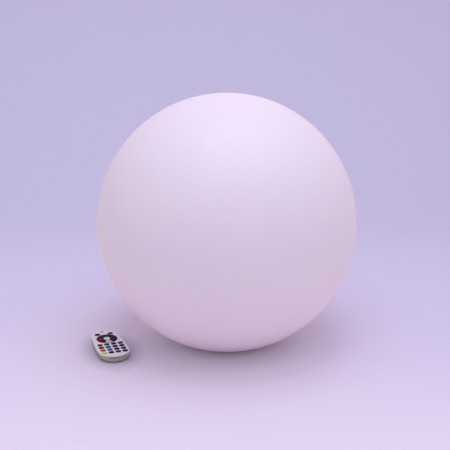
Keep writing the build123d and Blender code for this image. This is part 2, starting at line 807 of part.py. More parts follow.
with BuildPart() as remote_top_cover:
    with BuildSketch(remote_floor.offset(seam_height)):
        add(remote_plan(0, 0, 0))
    extrude(amount=remote_height - seam_height)
    fillet(remote_top_cover.faces().sort_by(Axis.Z)[-1].edges(), radius=cover_edge)
    with BuildSketch(remote_floor.offset(seam_height)):
        add(remote_plan(cover_wall, cover_wall, cover_wall))
    extrude(amount=ceiling - seam_height, mode=Mode.SUBTRACT)
    with BuildSketch(remote_floor.offset(ceiling)):
        with Locations(*key_places.values()):
            add(key_plan(key_gap))
        with Locations((0, ring_y)):
            Circle(ring_radius + ring_gap)
        with Locations(indicator_place):
            Circle(indicator_radius + 0.05)
    extrude(amount=face_thickness, mode=Mode.SUBTRACT)
    # bosses for the two screws from below
    with BuildSketch(remote_floor.offset(ceiling + 0.2)):
        with Locations(*remote_screw_places):
            Circle(2)
            Circle(remote_screw_radius, mode=Mode.SUBTRACT)
    extrude(amount=mat_bottom - ceiling - 0.2)
remote_top_cover.part.label = "remote_top_cover"
export_step(remote_top_cover.part, "parts/remote_top_cover.step")

# the lower cover: the plan drawn in more and more towards the floor, like a hull
hull_heights = [0.0, 3.5, seam_height]
hull_side = [7.0, 2.6, 0.0]
hull_tail = [4.0, 1.4, 0.0]
hull_nose = [6.0, 2.4, 0.0]
cavity_heights = [1.8, 4.5, seam_height]
cavity_extra = [2.0, 2.0, cover_wall]

with BuildPart() as hull:
    for height, side, tail, nose in zip(hull_heights, hull_side, hull_tail, hull_nose):
        with BuildSketch(remote_floor.offset(height)):
            add(remote_plan(side, tail, nose))
    loft()

screw_seat = 4.4
emitter_radius = 1.5
emitter_height = 6.6
emitter_start = 63.0
emitter_axis = Plane(
    origin=remote_floor.from_local_coords((0, emitter_start, emitter_height)),
    x_dir=remote_across,
    z_dir=remote_ahead,
)

with BuildPart() as remote_bottom_cover:
    add(hull.part)
    for height, side, tail, nose, extra in zip(
        cavity_heights, hull_side, hull_tail, hull_nose, cavity_extra
    ):
        with BuildSketch(remote_floor.offset(height)):
            add(remote_plan(side + extra, tail + extra, nose + extra))
    loft(mode=Mode.SUBTRACT)
    # screw bosses that carry the board
    with BuildSketch(remote_floor.offset(3.2)):
        with Locations(*remote_screw_places):
            Circle(2.6)
    extrude(amount=remote_board_height - 3.2)
    with BuildSketch(remote_floor.offset(screw_seat)):
        with Locations(*remote_screw_places):
            Circle(1.8)
    extrude(amount=-screw_seat, mode=Mode.SUBTRACT)
    with BuildSketch(remote_floor.offset(screw_seat)):
        with Locations(*remote_screw_places):
            Circle(remote_screw_radius + 0.1)
    extrude(amount=remote_board_height - screw_seat, mode=Mode.SUBTRACT)
    # rails under the tray and the way out at the tail
    with BuildSketch(remote_floor.offset(1.5)):
        with Locations((0, tray_front - rail_length / 2 + rail_lead)):
            with GridLocations(2 * (tray_half_width - rail_inset), 0, 2, 1):
                Rectangle(rail_width, rail_length)
    extrude(amount=tray_bottom - 1.5)
    with BuildSketch(remote_floor.offset(tray_bottom)):
        with Locations((0, (tray_front + 2 * tail_y) / 2)):
            Rectangle(2 * (tray_half_width + tray_clearance), tray_front - 2 * tail_y)
    extrude(amount=seam_height - tray_bottom, mode=Mode.SUBTRACT)
    with BuildSketch(emitter_axis):
        Circle(emitter_radius + 0.1)
    extrude(amount=10, mode=Mode.SUBTRACT)
remote_bottom_cover.part.label = "remote_bottom_cover"
export_step(remote_bottom_cover.part, "parts/remote_bottom_cover.step")

with BuildPart() as battery_tray:
    add(hull.part)
    with BuildSketch(remote_floor.offset(tray_bottom + 0.05)):
        with Locations((0, (tray_front - 0.3 + 2 * tail_y) / 2)):
            Rectangle(2 * tray_half_width, tray_front - 0.3 - 2 * tail_y)
    extrude(amount=tray_top - tray_bottom - 0.05, mode=Mode.INTERSECT)
    with BuildSketch(remote_floor.offset(tray_top)):
        with Locations((0, coin_y)):
            Circle(coin_radius + 0.2)
    extrude(amount=-coin_thickness, mode=Mode.SUBTRACT)
battery_tray.part.label = "battery_tray"
export_step(battery_tray.part, "parts/battery_tray.step")

with BuildPart() as coin_cell:
    with BuildSketch(remote_floor.offset(tray_top - coin_thickness)):
        with Locations((0, coin_y)):
            Circle(coin_radius)
    extrude(amount=coin_thickness)
coin_cell.part.label = "coin_cell"
export_step(coin_cell.part, "parts/coin_cell.step")

with BuildPart() as remote_board:
    with BuildSketch(remote_floor.offset(remote_board_height)):
        add(remote_plan(2.8, 3.4, 4.0))
        with Locations(*remote_screw_places):
            Circle(remote_screw_radius + 0.1, mode=Mode.SUBTRACT)
    extrude(amount=remote_board_thickness)
remote_board.part.label = "remote_board"
export_step(remote_board.part, "parts/remote_board.step")

with BuildPart() as key_mat:
    with BuildSketch(remote_floor.offset(mat_bottom)):
        add(remote_plan(2.0, 2.0, 2.0))
        with Locations(*key_places.values()):
            add(key_plan(key_lip + 0.3), mode=Mode.SUBTRACT)
        with Locations((0, ring_y)):
            Circle(ring_radius + 1.4, mode=Mode.SUBTRACT)
        with Locations(*remote_screw_places):
            Circle(2.2, mode=Mode.SUBTRACT)
        with Locations(indicator_place):
            Circle(indicator_radius + 0.2, mode=Mode.SUBTRACT)
    extrude(amount=mat_thickness)
key_mat.part.label = "key_mat"
export_step(key_mat.part, "parts/key_mat.step")

with BuildPart() as indicator_lens:
    with BuildSketch(remote_floor.offset(mat_bottom)):
        with Locations(indicator_place):
            Circle(indicator_radius)
    extrude(amount=remote_height + 0.1 - mat_bottom)
indicator_lens.part.label = "indicator_lens"
export_step(indicator_lens.part, "parts/indicator_lens.step")

with BuildPart() as ir_emitter:
    with BuildSketch(emitter_axis):
        Circle(emitter_radius)
    extrude(amount=4.6)
    fillet(ir_emitter.faces().sort_by(Axis(emitter_axis.origin, remote_ahead))[-1].edges(), radius=1.2)
    # two legs up to the board
    with BuildSketch(emitter_axis.offset(-1.6)):
        with Locations((0.8, 0), (-0.8, 0)):
            Rectangle(0.5, 0.5)
    extrude(amount=1.6)
    with BuildSketch(remote_floor.offset(emitter_height - 0.25)):
        with Locations((0.8, emitter_start - 1.4), (-0.8, emitter_start - 1.4)):
            Rectangle(0.5, 0.5)
    extrude(amount=remote_board_height - emitter_height + 0.25)
ir_emitter.part.label = "ir_emitter"
export_step(ir_emitter.part, "parts/ir_emitter.step")

with BuildPart(remote_floor.offset(screw_seat)) as remote_screws:
    with Locations(*remote_screw_places):
        Cylinder(1.65, 1.2, align=(Align.CENTER, Align.CENTER, Align.MAX))
        Cylinder(remote_screw_radius, 6, align=low)
remote_screws.part.label = "remote_screws"
export_step(remote_screws.part, "parts/remote_screws.step")

with BuildPart() as cell_contacts:
    with BuildSketch(remote_floor.offset(tray_top + 0.05)):
        with Locations((4, coin_y), (-4, coin_y)):
            Rectangle(3, 9)
    extrude(amount=remote_board_height - tray_top - 0.05)
cell_contacts.part.label = "cell_contacts"
export_step(cell_contacts.part, "parts/cell_contacts.step")

# ------------------------------------------------------------------ keys

for key_name, place in key_places.items():
    with BuildPart() as key:
        with BuildSketch(remote_floor.offset(key_bottom)):
            with Locations(place):
                add(key_plan(0))
        extrude(amount=key_top - key_bottom)
        fillet(key.faces().sort_by(Axis.Z)[-1].edges(), radius=0.7)
        with BuildSketch(remote_floor.offset(key_bottom)):
            with Locations(place):
                add(key_plan(key_lip))
        extrude(amount=key_foot_top - key_bottom)
    key.part.label = key_name
    export_step(key.part, f"parts/{key_name}.step")

for key_name, (middle, spread) in ring_sectors.items():
    with BuildPart() as sector:
        with BuildSketch(remote_floor.offset(key_bottom)):
            with Locations((0, ring_y)):
                add(sector_plan(middle, spread, ring_radius, ring_inner_radius))
        extrude(amount=key_top - 0.3 - key_bottom)
        fillet(sector.faces().sort_by(Axis.Z)[-1].edges(), radius=0.5)
        with BuildSketch(remote_floor.offset(key_bottom)):
            with Locations((0, ring_y)):
                add(sector_plan(middle, spread, ring_radius + 1, ring_radius - 0.5))
        extrude(amount=key_foot_top - key_bottom)
    sector.part.label = key_name
    export_step(sector.part, f"parts/{key_name}.step")

with BuildPart() as key_centre:
    with BuildSketch(remote_floor.offset(key_bottom)):
        with Locations((0, ring_y)):
            Circle(centre_key_radius)
    extrude(amount=key_top - key_bottom)
    fillet(key_centre.faces().sort_by(Axis.Z)[-1].edges(), radius=0.7)
key_centre.part.label = "key_centre"
export_step(key_centre.part, "parts/key_centre.step")
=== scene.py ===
# %% [markdown]
# # A garden globe light and its remote control
# The object is a white plastic ball, 40 cm across, that stands on the floor and lights up from inside.
# A small remote control lies beside it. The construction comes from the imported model, in metres and in
# one shared frame, and this lesson dresses it: it gives every surface its finish, and models afresh the
# pieces whose roundness or small detail the eye would miss.

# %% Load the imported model
from math import atan2, cos, degrees, pi, radians, sin, sqrt

import bmesh
import bpy
from mathutils import Matrix, Vector


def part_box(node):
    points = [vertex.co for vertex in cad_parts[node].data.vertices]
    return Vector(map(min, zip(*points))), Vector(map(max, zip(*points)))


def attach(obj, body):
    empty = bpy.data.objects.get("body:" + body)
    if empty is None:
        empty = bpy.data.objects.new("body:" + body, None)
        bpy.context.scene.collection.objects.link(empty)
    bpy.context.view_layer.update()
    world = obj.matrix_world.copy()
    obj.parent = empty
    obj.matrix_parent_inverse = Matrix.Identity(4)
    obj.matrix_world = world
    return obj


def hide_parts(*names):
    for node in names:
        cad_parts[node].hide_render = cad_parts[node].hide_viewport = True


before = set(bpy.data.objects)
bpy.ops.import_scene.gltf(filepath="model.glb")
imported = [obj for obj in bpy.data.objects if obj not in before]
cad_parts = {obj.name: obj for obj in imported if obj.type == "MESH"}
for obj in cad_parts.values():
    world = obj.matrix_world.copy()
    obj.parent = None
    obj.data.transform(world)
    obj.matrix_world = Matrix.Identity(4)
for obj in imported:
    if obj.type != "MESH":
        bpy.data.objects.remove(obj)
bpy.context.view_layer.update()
mm = 0.001

# %% [markdown]
# ## The camera
# The view is solved from two things that are known to be true of the remote: its keys stand in a square
# grid, and its colour ring is round. They give a lens of 80 mm on a 36 mm sensor, tilted 15.8 degrees
# down, 1.55 m from the ball's middle. The lens isn't shifted, so the same camera can be carried round
# the object for other views.

# %% Set up the camera
camera_tilt = radians(15.81)
camera_data = bpy.data.cameras.new("photo_camera")
camera_data.lens = 80
camera_data.sensor_width = 36
camera = bpy.data.objects.new("photo_camera", camera_data)
bpy.context.scene.collection.objects.link(camera)
camera.location = (-0.0026, -1.4966, 0.6095)
camera.rotation_euler = (pi / 2 - camera_tilt, 0, 0)
bpy.context.scene.camera = camera
print("camera at", tuple(round(c, 3) for c in camera.location))

# %% [markdown]
# ## Helpers for finishes
# A colour is easier to judge as it looks on a screen, so it is written in screen values from 0 to 255 and
# turned into the linear light that a shader wants. Every finish starts from one Principled shader. Two
# noises in Object coordinates then break it up: a wide one drifts the colour and the shine a little, as
# moulded plastic does, and a fine one raises the grain of the mould. Object coordinates are metres here,
# so the size of a pattern is set by how many times it repeats in a metre.

# %% Colours on screen and in linear light
def screen_colour(red, green, blue):
    """Screen values from 0 to 255 as a linear colour with alpha."""
    linear = []
    for value in (red, green, blue):
        share = value / 255
        linear.append(share / 12.92 if share <= 0.04045 else ((share + 0.055) / 1.055) ** 2.4)
    return (*linear, 1)


def shade(colour, factor):
    """The same linear colour, lighter or darker."""
    return (*[min(1, channel * factor) for channel in colour[:3]], 1)


print("128 of 255 on screen is", round(screen_colour(128, 128, 128)[0], 3), "of full light")

# %% A base for every finish
def start_finish(name):
    """A new material with its node tree, its Principled shader and Object coordinates."""
    material = bpy.data.materials.new(f"{name}_finish")
    material.use_nodes = True
    tree = material.node_tree
    place = tree.nodes.new("ShaderNodeTexCoord").outputs["Object"]
    return material, tree, tree.nodes["Principled BSDF"], place


def set_inputs(node, values):
    """Sets a node's inputs from a table of their names and values."""
    for name, value in values.items():
        node.inputs[name].default_value = value


def feed(tree, socket, value):
    """Gives a socket its value, which is another socket or a fixed number or colour."""
    if isinstance(value, bpy.types.NodeSocket):
        tree.links.new(value, socket)
    else:
        socket.default_value = value


def add_noise(tree, place, per_metre, detail=3, roughness=0.5):
    """A noise of that many features in a metre, from 0 to 1."""
    noise = tree.nodes.new("ShaderNodeTexNoise")
    set_inputs(noise, {"Scale": per_metre, "Detail": detail, "Roughness": roughness})
    tree.links.new(place, noise.inputs["Vector"])
    return noise.outputs["Fac"]


def add_range(tree, value, low, high, start=0.3, end=0.7):
    """Maps value's middle stretch onto low to high."""
    ranger = tree.nodes.new("ShaderNodeMapRange")
    set_inputs(ranger, {"From Min": start, "From Max": end, "To Min": low, "To Max": high})
    tree.links.new(value, ranger.inputs["Value"])
    return ranger.outputs["Result"]


def add_mix(tree, factor, first, second):
    """Mixes two colours, each a socket or a fixed colour, by a socket from 0 to 1."""
    mixer = tree.nodes.new("ShaderNodeMix")
    mixer.data_type = "RGBA"
    tree.links.new(factor, mixer.inputs["Factor"])
    feed(tree, mixer.inputs["A"], first)
    feed(tree, mixer.inputs["B"], second)
    return mixer.outputs["Result"]


def add_drift(tree, noise, colour, darkest, lightest):
    """The colour, which a noise drifts between two shades of itself."""
    return add_mix(tree, add_range(tree, noise, 0, 1), shade(colour, darkest), shade(colour, lightest))


def add_grain(tree, height, distance, strength, shader):
    """Raises the surface by a height socket, over a distance in metres."""
    bump = tree.nodes.new("ShaderNodeBump")
    set_inputs(bump, {"Strength": strength, "Distance": distance})
    tree.links.new(height, bump.inputs["Height"])
    tree.links.new(bump.outputs["Normal"], shader.inputs["Normal"])


print("node helpers ready")

# %% Moulded plastic and rubber
def moulded_finish(name, colour, roughness, drift=0.05, grain_per_metre=2500, grain_depth=0.00002,
                   grain_strength=0.3, drift_per_metre=18, worn=0.0):
    """Plastic or rubber from a mould: a slight drift of colour and shine, and a fine grain."""
    material, tree, shader, place = start_finish(name)
    wide = add_noise(tree, place, drift_per_metre, detail=4)
    fine = add_noise(tree, place, grain_per_metre, detail=2)
    tint = add_drift(tree, wide, colour, 1 - drift, 1 + drift)
    if worn:
        scuff = add_range(tree, add_noise(tree, place, 900, detail=6, roughness=0.7), 0, worn, 0.6, 0.75)
        tint = add_mix(tree, scuff, tint, shade(colour, 0.75))
    tree.links.new(tint, shader.inputs["Base Color"])
    tree.links.new(add_range(tree, wide, roughness - 0.04, roughness + 0.05), shader.inputs["Roughness"])
    add_grain(tree, fine, grain_depth, grain_strength, shader)
    return material, shader


print("moulded finish ready")

# %% [markdown]
# ## The ball's white
# The ball is rotation moulded from translucent polyethylene. Powder melts against the inside of a warm
# mould, so the outside is matt and softly waxy, with no gate mark and almost no shine. Light sinks in a
# little and comes out again beside where it went in, so the shadow side is never hard. Subsurface
# scattering does that, over a few millimetres. The tint is a white with a breath of pink and lavender.

# %% Finish of the ball
ball_white, ball_shader = moulded_finish(
    "ball_white", screen_colour(234, 220, 248), 0.46, drift=0.012, drift_per_metre=7,
    grain_per_metre=1400, grain_depth=0.00003, grain_strength=0.22,
)
set_inputs(ball_shader, {"Subsurface Weight": 0.35, "Subsurface Radius": (1.0, 0.85, 0.95)})
set_inputs(ball_shader, {"Subsurface Scale": 0.006, "Specular IOR Level": 0.42})
print("made", ball_white.name)

# %% [markdown]
# ## Helpers for new pieces
# Each new piece starts as a bmesh, is shaped by operators, and becomes an object that sits at the origin
# with its place in its mesh. Flat faces that meet at more than 35 degrees keep a crisp edge and all
# others are smoothed. A Weighted Normal modifier then lets the large faces set the shading, so that a
# rounded edge shines as a line and doesn't bend the light on the flat beside it.

# %% Turn a bmesh into a finished piece
crisp_angle = radians(35)


def mesh_object(name, bm, material):
    """Writes the bmesh as a smooth object with one material, and frees it."""
    mesh = bpy.data.meshes.new(name)
    bm.to_mesh(mesh)
    bm.free()
    mesh.polygons.foreach_set("use_smooth", [True] * len(mesh.polygons))
    mesh.materials.append(material)
    thing = bpy.data.objects.new(name, mesh)
    bpy.context.scene.collection.objects.link(thing)
    return thing


def make_piece(name, bm, material, body, replaces=(), weighted=True):
    """Makes the bmesh a piece with crisp edges, on its body, in place of CAD nodes."""
    bmesh.ops.remove_doubles(bm, verts=bm.verts[:], dist=1e-7)
    bmesh.ops.recalc_face_normals(bm, faces=bm.faces[:])
    piece = mesh_object(name, bm, material)
    piece.data.set_sharp_from_angle(angle=crisp_angle)
    if weighted:
        modifier = piece.modifiers.new("even_shading", "WEIGHTED_NORMAL")
        modifier.keep_sharp = True
    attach(piece, body)
    if replaces:
        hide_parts(*replaces)
    print(f"{name}: {len(piece.data.polygons)} faces")
    return piece


def grow_ring(bm, edges, radius_now, radius, height):
    """Extrudes a level ring of edges about the Z axis to a new radius and height, and returns the new ring."""
    grown = bmesh.ops.extrude_edge_only(bm, edges=edges)["geom"]
    verts = [g for g in grown if isinstance(g, bmesh.types.BMVert)]
    scale = radius / radius_now
    bmesh.ops.scale(bm, vec=(scale, scale, 1), verts=verts)
    bmesh.ops.translate(bm, vec=(0, 0, height - verts[0].co.z), verts=verts)
    return [g for g in grown if isinstance(g, bmesh.types.BMEdge)]


# %% [markdown]
# A moulding's edges are rounded by a bevel. The operator's defaults differ from the editor's, so one
# function holds its settings. A second function puts one bmesh into another, by way of a mesh.

# %% Round edges and join shapes
def round_edges(bm, edges, width, segments):
    """Bevels edges into rounds."""
    bmesh.ops.bevel(
        bm, geom=edges, offset=width, segments=segments, profile=0.5, affect="EDGES", material=-1,
        clamp_overlap=False,
    )
    bm.normal_update()


def put_into(bm, other):
    """Puts another bmesh's shape into this one, and frees the other."""
    mesh = bpy.data.meshes.new("carried_over")
    other.to_mesh(mesh)
    other.free()
    bm.from_mesh(mesh)
    bpy.data.meshes.remove(mesh)


print("shape helpers ready")

# %% [markdown]
# Round pieces are one line spun about the Z axis. A line that ends on the axis leaves its ends' copies on
# one another there, so the doubles are merged, and an edge that lies along the axis itself is deleted.

# %% Spin a line into a round piece
def spin_profile(points, segments=128):
    """Spins a line of (radius, height) points all the way round the Z axis."""
    bm = bmesh.new()
    verts = [bm.verts.new((radius, 0, height)) for radius, height in points]
    edges = [bm.edges.new(pair) for pair in zip(verts, verts[1:])]
    bmesh.ops.spin(
        bm, geom=verts + edges, cent=(0, 0, 0), axis=(0, 0, 1), angle=2 * pi, steps=segments,
        use_merge=True, use_duplicate=False,
    )
    bmesh.ops.remove_doubles(bm, verts=bm.verts[:], dist=1e-6)
    on_the_axis = [e for e in bm.edges if not e.link_faces]
    bmesh.ops.delete(bm, geom=on_the_axis, context="EDGES")
    return bm


def arc_points(middle_radius, middle_height, radius, start, end, steps):
    """Points of an arc in the (radius, height) plane, from start to end in degrees."""
    angles = [radians(start + (end - start) * step / steps) for step in range(steps + 1)]
    return [(middle_radius + radius * cos(a), middle_height + radius * sin(a)) for a in angles]


print("a circle of 8 points has its first at", arc_points(0, 0, 1, 0, 360, 8)[0])

# %% [markdown]
# ## The ball
# The real shell is one hollow moulding: a sphere whose bottom turns in to a flat foot, a groove for the
# foot ring, a recess for the base, and a round port in the recess. A fine UV sphere is cut off at the
# foot with a bisecting plane. The open rim is then extruded ring by ring along that path, and a second,
# smaller sphere closes the wall from inside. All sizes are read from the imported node's box, so the new
# shell lies where the solid lies. The sphere has 192 segments, which leaves no corner on its outline.

# %% Read the ball's sizes from the frame
ball_low, ball_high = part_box("globe_shell")
ring_low, ring_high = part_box("foot_ring")
gasket_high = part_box("collar_gasket")[1]
ball_radius = (ball_high.x - ball_low.x) / 2
ball_middle = ball_high.z - ball_radius
ball_wall = 4 * mm
foot_level = ball_low.z
foot_radius = sqrt(ball_radius**2 - (ball_middle - foot_level) ** 2)
groove_outer = ring_high.x
groove_width = 4 * mm
groove_inner = groove_outer - groove_width
gasket_clearance = 1 * mm
recess_radius = gasket_high.x + gasket_clearance
recess_ceiling = gasket_high.z
port_radius = 50 * mm
port_top = recess_ceiling + ball_wall
sleeve_radius = recess_radius + ball_wall
sleeve_foot = ball_middle - sqrt((ball_radius - ball_wall) ** 2 - sleeve_radius**2)
print("ball radius", round(ball_radius, 4), "foot radius", round(foot_radius, 4), "recess", round(recess_radius, 4))

# %% Model the ball
def cut_sphere(radius, rings, level):
    """A sphere about the ball's middle, without what lies below a level."""
    bm = bmesh.new()
    bmesh.ops.create_uvsphere(bm, u_segments=192, v_segments=rings, radius=radius)
    bmesh.ops.translate(bm, vec=(0, 0, ball_middle), verts=bm.verts[:])
    bmesh.ops.bisect_plane(
        bm, geom=bm.verts[:] + bm.edges[:] + bm.faces[:], plane_co=(0, 0, level), plane_no=(0, 0, 1),
        clear_inner=True,
    )
    return bm


bm = cut_sphere(ball_radius, 144, foot_level)
rim = [e for e in bm.edges if e.is_boundary]
shell_path = [
    (groove_outer, foot_level),
    (groove_outer, ring_high.z),
    (groove_inner, ring_high.z),
    (groove_inner, foot_level),
    (recess_radius, foot_level),
    (recess_radius, recess_ceiling),
    (port_radius, recess_ceiling),
    (port_radius, port_top),
    (sleeve_radius, port_top),
    (sleeve_radius, sleeve_foot),
]
radius_now = foot_radius
for radius, height in shell_path:
    rim = grow_ring(bm, rim, radius_now, radius, height)
    radius_now = radius
put_into(bm, cut_sphere(ball_radius - ball_wall, 96, sleeve_foot))
bmesh.ops.remove_doubles(bm, verts=[v for v in bm.verts if v.is_boundary], dist=0.05 * mm)
print("open edges after joining the spheres:", sum(e.is_boundary for e in bm.edges))
corners = [
    e for e in bm.edges
    if e.calc_face_angle(0) > radians(60) and all(abs(v.co.z - foot_level) < 1e-5 for v in e.verts)
]
print("edges to round at the foot:", len(corners))
round_edges(bm, corners, width=0.45 * mm, segments=4)
make_piece("ball_shell", bm, ball_white, "globe", ["globe_shell"], weighted=False)

# %% [markdown]
# ## Where the remote lies
# The remote lies turned on the floor, so its pieces are modelled square to the axes, with the remote's
# own middle at the origin, and moved into place at the end. The place and the turn are read from keys
# in the frame: a column of keys gives the direction, and the round key gives the point.

# %% Work out the remote's place
def node_middle(node):
    """The middle of a CAD node's box."""
    low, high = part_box(node)
    return (low + high) / 2


key_column = node_middle("key_crimson") - node_middle("key_yellow")
remote_turn = atan2(key_column.y, key_column.x) - pi / 2
ring_middle = node_middle("key_centre")
ring_ahead = 31.5 * mm          # from the remote's middle to the colour ring's
remote_place = (
    Matrix.Translation((ring_middle.x, ring_middle.y, 0))
    @ Matrix.Rotation(remote_turn, 4, "Z")
    @ Matrix.Translation((0, -ring_ahead, 0))
)
cover_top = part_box("remote_top_cover")[1].z
print("remote turned by", round(degrees(remote_turn), 2), "degrees, top at", round(cover_top * 1000, 2), "mm")

# %% [markdown]
# ## Keys of silicone rubber
# The keys are silicone, moulded in one colour each, and lightly sprayed so that a finger slides. The spray
# is matt, so the shine is turned well down, and even a low view shows the full, deep colour. Each is
# a small rounded block: a cube is stretched, its upright edges are bevelled into corners, its top rim
# gets a finer bevel, and two insets raise the crown. The foot is a flange that keeps the key under the
# cover, made by extruding the underside, widening it and extruding again.

# %% Finish of the keys
def key_finish(name, colour, gloss=0.07):
    """Sprayed silicone: a soft satin, a little uneven, with dust-fine grain."""
    material, shader = moulded_finish(
        name, colour, 0.42, drift=0.07, drift_per_metre=160, grain_per_metre=9000, grain_depth=0.00001,
        grain_strength=0.3,
    )
    shader.inputs["Specular IOR Level"].default_value = gloss
    return material


key_colours = {
    "key_off": (6, 12, 34),
    "key_on": (134, 2, 66),
    "key_crimson": (134, 0, 42),
    "key_scarlet": (134, 0, 26),
    "key_orange": (176, 88, 46),
    "key_yellow": (206, 200, 46),
    "key_green": (0, 78, 66),
    "key_teal": (0, 88, 132),
    "key_cyan": (2, 92, 152),
    "key_petrol": (0, 28, 74),
    "key_indigo": (16, 2, 84),
    "key_navy": (2, 0, 32),
    "key_purple": (38, 0, 46),
    "key_magenta": (84, 0, 58),
    "key_flash": (42, 32, 56),
    "key_strobe": (42, 30, 56),
    "key_fade": (34, 22, 48),
    "key_smooth": (34, 22, 50),
}
key_finishes = {name: key_finish(f"silicone_{name}", screen_colour(*rgb)) for name, rgb in key_colours.items()}
print("key finishes:", len(key_finishes))

# %% Sizes of a key
key_length = 7.8 * mm
key_width = 6.6 * mm
key_corner = 2.6 * mm
key_rim = 0.75 * mm             # round between the key's side and its top
crown_step = 0.9 * mm
crown_rise = 0.15 * mm
crown_height = 0.22 * mm        # left for the crown above the block
foot_height = 0.7 * mm
foot_overhang = 0.6 * mm        # the foot is this much wider all round
key_clearance = 0.03 * mm       # a pressed key stops this far above the board
print("crown of two steps rises", round(1.5 * crown_rise / mm, 3), "mm")

# %% Model the oblong keys
def top_face(bm):
    """The highest level face."""
    return max((f for f in bm.faces if f.normal.z > 0.9), key=lambda face: face.calc_center_median().z)


def add_cube(bm, size, middle):
    """Adds a cube that is stretched to a size and moved to its middle, and returns its vertices."""
    verts = bmesh.ops.create_cube(bm, size=1)["verts"]
    bmesh.ops.scale(bm, vec=size, verts=verts)
    bmesh.ops.translate(bm, vec=middle, verts=verts)
    return verts


def key_block(bottom, top):
    """A block with round corners and a round top rim, standing between two heights."""
    bm = bmesh.new()
    add_cube(bm, (key_length, key_width, top - bottom), (0, 0, (top + bottom) / 2))
    upright = [e for e in bm.edges if abs(e.verts[0].co.z - e.verts[1].co.z) > 1e-6]
    round_edges(bm, upright, width=key_corner, segments=9)
    round_edges(bm, top_face(bm).edges[:], width=key_rim, segments=5)
    return bm


def crown(bm):
    """Insets the top face twice, and lifts it half as much the second time."""
    for rise in (crown_rise, crown_rise / 2):
        bmesh.ops.inset_region(bm, faces=[top_face(bm)], thickness=crown_step, depth=rise, use_even_offset=True)
        bm.normal_update()


def add_foot(bm, drop):
    """Widens the underside into a flange and thickens it downwards."""
    underside = min(bm.faces, key=lambda face: face.calc_center_median().z)
    wider = (1 + 2 * foot_overhang / key_length, 1 + 2 * foot_overhang / key_width, 1)
    for scale, down in ((wider, 0), ((1, 1, 1), -drop)):
        grown = bmesh.ops.extrude_face_region(bm, geom=[underside])["geom"]
        bmesh.ops.delete(bm, geom=[underside], context="FACES_ONLY")
        underside = next(g for g in grown if isinstance(g, bmesh.types.BMFace))
        bmesh.ops.scale(bm, vec=scale, verts=underside.verts[:])
        bmesh.ops.translate(bm, vec=(0, 0, down), verts=underside.verts[:])


key_turn = Matrix.Rotation(remote_turn, 4, "Z")
for name, finish in key_finishes.items():
    low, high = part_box(name)
    bm = key_block(low.z + foot_height, high.z - crown_height)
    crown(bm)
    add_foot(bm, foot_height - key_clearance)
    middle = node_middle(name)
    bmesh.ops.transform(bm, matrix=Matrix.Translation((middle.x, middle.y, 0)) @ key_turn, verts=bm.verts[:])
    make_piece(f"{name}_cap", bm, finish, name, [name])

# %% [markdown]
# ## The colour ring
# Four keys make a ring round a button. In the photo the ring is almost black, with a deep colour glowing
# in the middle of each key, because the rubber there is translucent over a dark mat. One short section
# is spun through the angle of each key, its flat faces are dissolved into one, and its edges are bevelled
# by less than one step of the spin, so that no bevel folds over. The finish reads how far a point is
# from the middle of its key, in Object coordinates, and runs from the colour to nearly black.

# %% Finish of the ring's keys
def add_round(tree, place, middle, scale, turn=0.0):
    """1 in the middle of a round or oval patch, falling to 0 at its rim."""
    mover = tree.nodes.new("ShaderNodeMapping")
    mover.vector_type = "TEXTURE"
    set_inputs(mover, {"Location": middle, "Rotation": (0, 0, turn), "Scale": scale})
    tree.links.new(place, mover.inputs["Vector"])
    gradient = tree.nodes.new("ShaderNodeTexGradient")
    gradient.gradient_type = "SPHERICAL"
    tree.links.new(mover.outputs["Vector"], gradient.inputs["Vector"])
    return gradient.outputs["Fac"]


def ring_finish(name, colour, edge_colour, middle, reach):
    """Silicone that is coloured round a middle point and falls to its edge colour over a reach in metres."""
    material, tree, shader, place = start_finish(name)
    glow = add_range(tree, add_round(tree, place, middle, (reach, reach, reach)), 0, 1, 0.05, 0.6)
    patchy = add_noise(tree, place, 260, detail=3)
    uneven = add_drift(tree, patchy, colour, 0.85, 1.12)
    tree.links.new(add_mix(tree, glow, edge_colour, uneven), shader.inputs["Base Color"])
    tree.links.new(add_range(tree, patchy, 0.3, 0.42), shader.inputs["Roughness"])
    shader.inputs["Specular IOR Level"].default_value = 0.03
    add_grain(tree, add_noise(tree, place, 9000, detail=2), 0.00001, 0.3, shader)
    return material


ring_inner = 5.6 * mm
ring_outer = 15.9 * mm
ring_gap = 0.4 * mm
ring_round = 0.26 * mm
glow_reach = 9 * mm
ring_keys = {
    # node: (middle and spread of the sector, angle of the coloured heart, its colour, colour at the edge)
    "key_ring_green": (90, 100, 98, (0, 40, 38), (0, 1, 6)),
    "key_ring_red": (194, 108, 186, (112, 0, 26), (4, 0, 5)),
    "key_ring_white": (270, 44, 270, (200, 196, 212), (172, 166, 184)),
    "key_ring_blue": (346, 108, 2, (18, 2, 74), (3, 0, 16)),
}
print("keys in the ring:", len(ring_keys))

# %% Model the ring's keys
def spin_section(width, height, radius, level, angle, steps):
    """An upright rectangle about a point at a radius and a level, spun through an angle."""
    bm = bmesh.new()
    bmesh.ops.create_grid(bm, x_segments=1, y_segments=1, size=0.5)
    bmesh.ops.scale(bm, vec=(width, height, 1), verts=bm.verts[:])
    bmesh.ops.rotate(bm, matrix=Matrix.Rotation(radians(90), 3, "X"), verts=bm.verts[:])
    bmesh.ops.translate(bm, vec=(radius, 0, level), verts=bm.verts[:])
    bmesh.ops.spin(
        bm, geom=bm.verts[:] + bm.edges[:] + bm.faces[:], cent=(0, 0, 0), axis=(0, 0, 1), angle=angle,
        steps=steps, use_duplicate=False,
    )
    return bm


